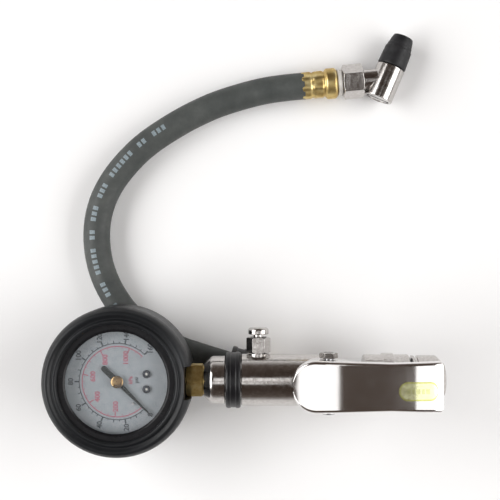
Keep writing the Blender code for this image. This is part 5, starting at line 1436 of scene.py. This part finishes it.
def ferrule():
    """The crimped brass ferrule with its bead."""
    radius, groove, bead, length = 6.5 * MM, 5.95 * MM, 7.3 * MM, 17.0 * MM
    lobe = (length - 5.6 * MM) / 2
    shell = [(HOSE_R - 0.1 * MM, 0.1 * MM, 0.05 * MM)]
    for low in (0, lobe):
        shell += [
            (groove + 0.3 * MM, low, 0.2 * MM),
            (radius, low + 0.8 * MM, 0.5 * MM),
            (radius + 0.1 * MM, low + lobe - 1.4 * MM, 0.5 * MM),
            (groove, low + lobe - 0.45 * MM, 0.3 * MM),
        ]
    shell += [
        (bead, length - 4.9 * MM, 0.6 * MM),
        (bead, length - 0.9 * MM, 0.6 * MM),
        (bead - 0.9 * MM, length, 0.3 * MM),
        (BARB_R + GAP, length, 0.1 * MM),
        (BARB_R + GAP, length - 2 * MM),
        (5.4 * MM, length - 2 * MM),
        (5.4 * MM, 3.0 * MM),
    ]
    sleeve = turned("ferrule_shell", shell, FERRULE_MOUTH, FERRULE_OUT, BRASS, 128)
    for vertex in sleeve.data.vertices:
        out = math.hypot(vertex.co.x, vertex.co.y)
        if vertex.co.z < 2 * lobe and out > groove:
            crimp = 0.5 + 0.5 * math.cos(8 * math.atan2(vertex.co.y, vertex.co.x))
            scale = 1 - 0.05 * crimp * min(1, (out - groove) / (0.4 * MM))
            vertex.co.x *= scale
            vertex.co.y *= scale
    settle(sleeve, "body", "brass", "ferrule")


def swivel():
    washer_s = 17.3 * MM
    outline = [
        (BARB_R + GAP, washer_s),
        (6.1 * MM, washer_s, 0.5 * MM),
        (6.1 * MM, washer_s + 2.2 * MM, 0.5 * MM),
        (BARB_R + GAP, washer_s + 2.2 * MM),
    ]
    washer = turned("washer_ring", outline, FERRULE_MOUTH, FERRULE_OUT, NYLON, 80)
    settle(washer, "body", "pale_nylon", "swivel_washer")
    start = 19.8 * MM
    end = start + 9.8 * MM
    turn = math.radians(10)
    nut = hexagon("swivel_hexagon", 14.3 * MM, start, end, FERRULE_MOUTH, FERRULE_OUT, SATIN, turn)
    cut(
        nut,
        rod("bore", 5.5 * MM, start + 2.3 * MM, end + MM, FERRULE_MOUTH, FERRULE_OUT, SATIN, 64, 0),
        rod("back", 3.9 * MM, start - MM, start + 4 * MM, FERRULE_MOUTH, FERRULE_OUT, SATIN, 64, 0),
    )
    edged(nut, 0.25 * MM, 3)
    settle(nut, "swivel_nut", "chrome", "swivel_nut")


def chuck():
    """The chuck's cross body, its slotted end plug and its rubber nose."""
    radius, back, front = 6.85 * MM, -10.6 * MM, 5.7 * MM
    outline = [
        (0, back),
        (radius, back, 0.6 * MM),
        (radius, front, 0.5 * MM),
        (0, front),
    ]
    body = turned("chuck_shell", outline, CHUCK, CHUCK_OUT, SATIN, 112)
    neck_start = 24.4 * MM
    join(body, rod("neck", 5.2 * MM, neck_start, CHUCK_S, FERRULE_MOUTH, FERRULE_OUT, SATIN, 80, 0.3 * MM))
    cut(
        body,
        rod("bore", 4.0 * MM, back + 3.0 * MM, front + MM, CHUCK, CHUCK_OUT, SATIN, 64, 0),
        rod("mouth", 5.5 * MM, back - MM, back + 3.3 * MM, CHUCK, CHUCK_OUT, SATIN, 72, 0),
        rod("feed", 2.2 * MM, neck_start - MM, CHUCK_S, FERRULE_MOUTH, FERRULE_OUT, SATIN, 40, 0),
    )
    edged(body, 0.25 * MM)
    settle(body, "body", "chrome", "chuck_body")
    plug = rod("plug_disc", 5.2 * MM, back + 0.2 * MM, back + 3.0 * MM, CHUCK, CHUCK_OUT, SATIN, 72, 0.3 * MM)
    place = Matrix.Translation(CHUCK) @ axes_to(CHUCK_OUT)
    slit = oblong(-12 * MM, 12 * MM, -0.6 * MM, 0.6 * MM)
    cut(plug, prism("slit", slit, back - MM, back + 1.2 * MM, place, SATIN))
    settle(plug, "body", "chrome", "chuck_plug")
    base = front + GAP
    tip = base + 15.2 * MM
    throat = base + 4.56 * MM
    nose = [
        (2.6 * MM, base - 3.4 * MM, 0.1 * MM),
        (3.7 * MM, base - 3.4 * MM, 0.1 * MM),
        (3.7 * MM, base, 0.1 * MM),
        (6.7 * MM, base, 0.3 * MM),
        (6.85 * MM, base + 0.6 * MM, 0.3 * MM),
        (6.45 * MM, tip - 6.4 * MM, 0.3 * MM),
        (6.05 * MM, tip - 5.8 * MM, 0.3 * MM),
        (5.9 * MM, tip - 4.4 * MM, 0.3 * MM),
        (5.7 * MM, tip - 4.2 * MM, 0.2 * MM),
        (5.2 * MM, tip - 1.4 * MM, 0.9 * MM),
        (4.7 * MM, tip, 0.7 * MM),
        (3.9 * MM, tip, 0.2 * MM),
        (3.9 * MM, throat + 3.4 * MM, 0.1 * MM),
        (4.5 * MM, throat + 3.4 * MM, 0.1 * MM),
        (4.5 * MM, throat, 0.1 * MM),
        (2.6 * MM, throat, 0.1 * MM),
    ]
    settle(turned("nose_cone", nose, CHUCK, CHUCK_OUT, NOSE, 96), "body", "black_rubber", "chuck_nose")


def inner_pieces():
    """CAD pieces that keep their shape: the movement, seals, pins and springs."""
    repaint(STEEL, "case_screw_1", "case_screw_2", "chuck_spring", "gauge_case", "inlet_screen")
    repaint(STEEL, "pinion_arbor", "pointer_stop", "restrictor")
    coil("valve_spring")
    coil("bleed_spring")
    repaint(BRASS, "chuck_pin", "ferrule_insert", "hairspring", "link", "sector_gear")
    repaint(BRASS, "movement_pillar_1", "movement_pillar_2", "movement_plate_back", "movement_plate_front")
    repaint(BRONZE, "bourdon_tube", "tube_tip")
    repaint(SEAL, "bleed_seal", "chuck_seal", "inlet_seal", "plug_seal", "stem_seal", "valve_poppet")


boot()
bezel_and_lens()
dial()
dial_screws()
pointer()
socket()
end_cap()
body_band()
barrel()
bleed_valve()
valve_housing()
valve_fittings()
inlet()
lever()
label()
lever_pin()
elbow_and_collar()
ferrule()
swivel()
chuck()
inner_pieces()
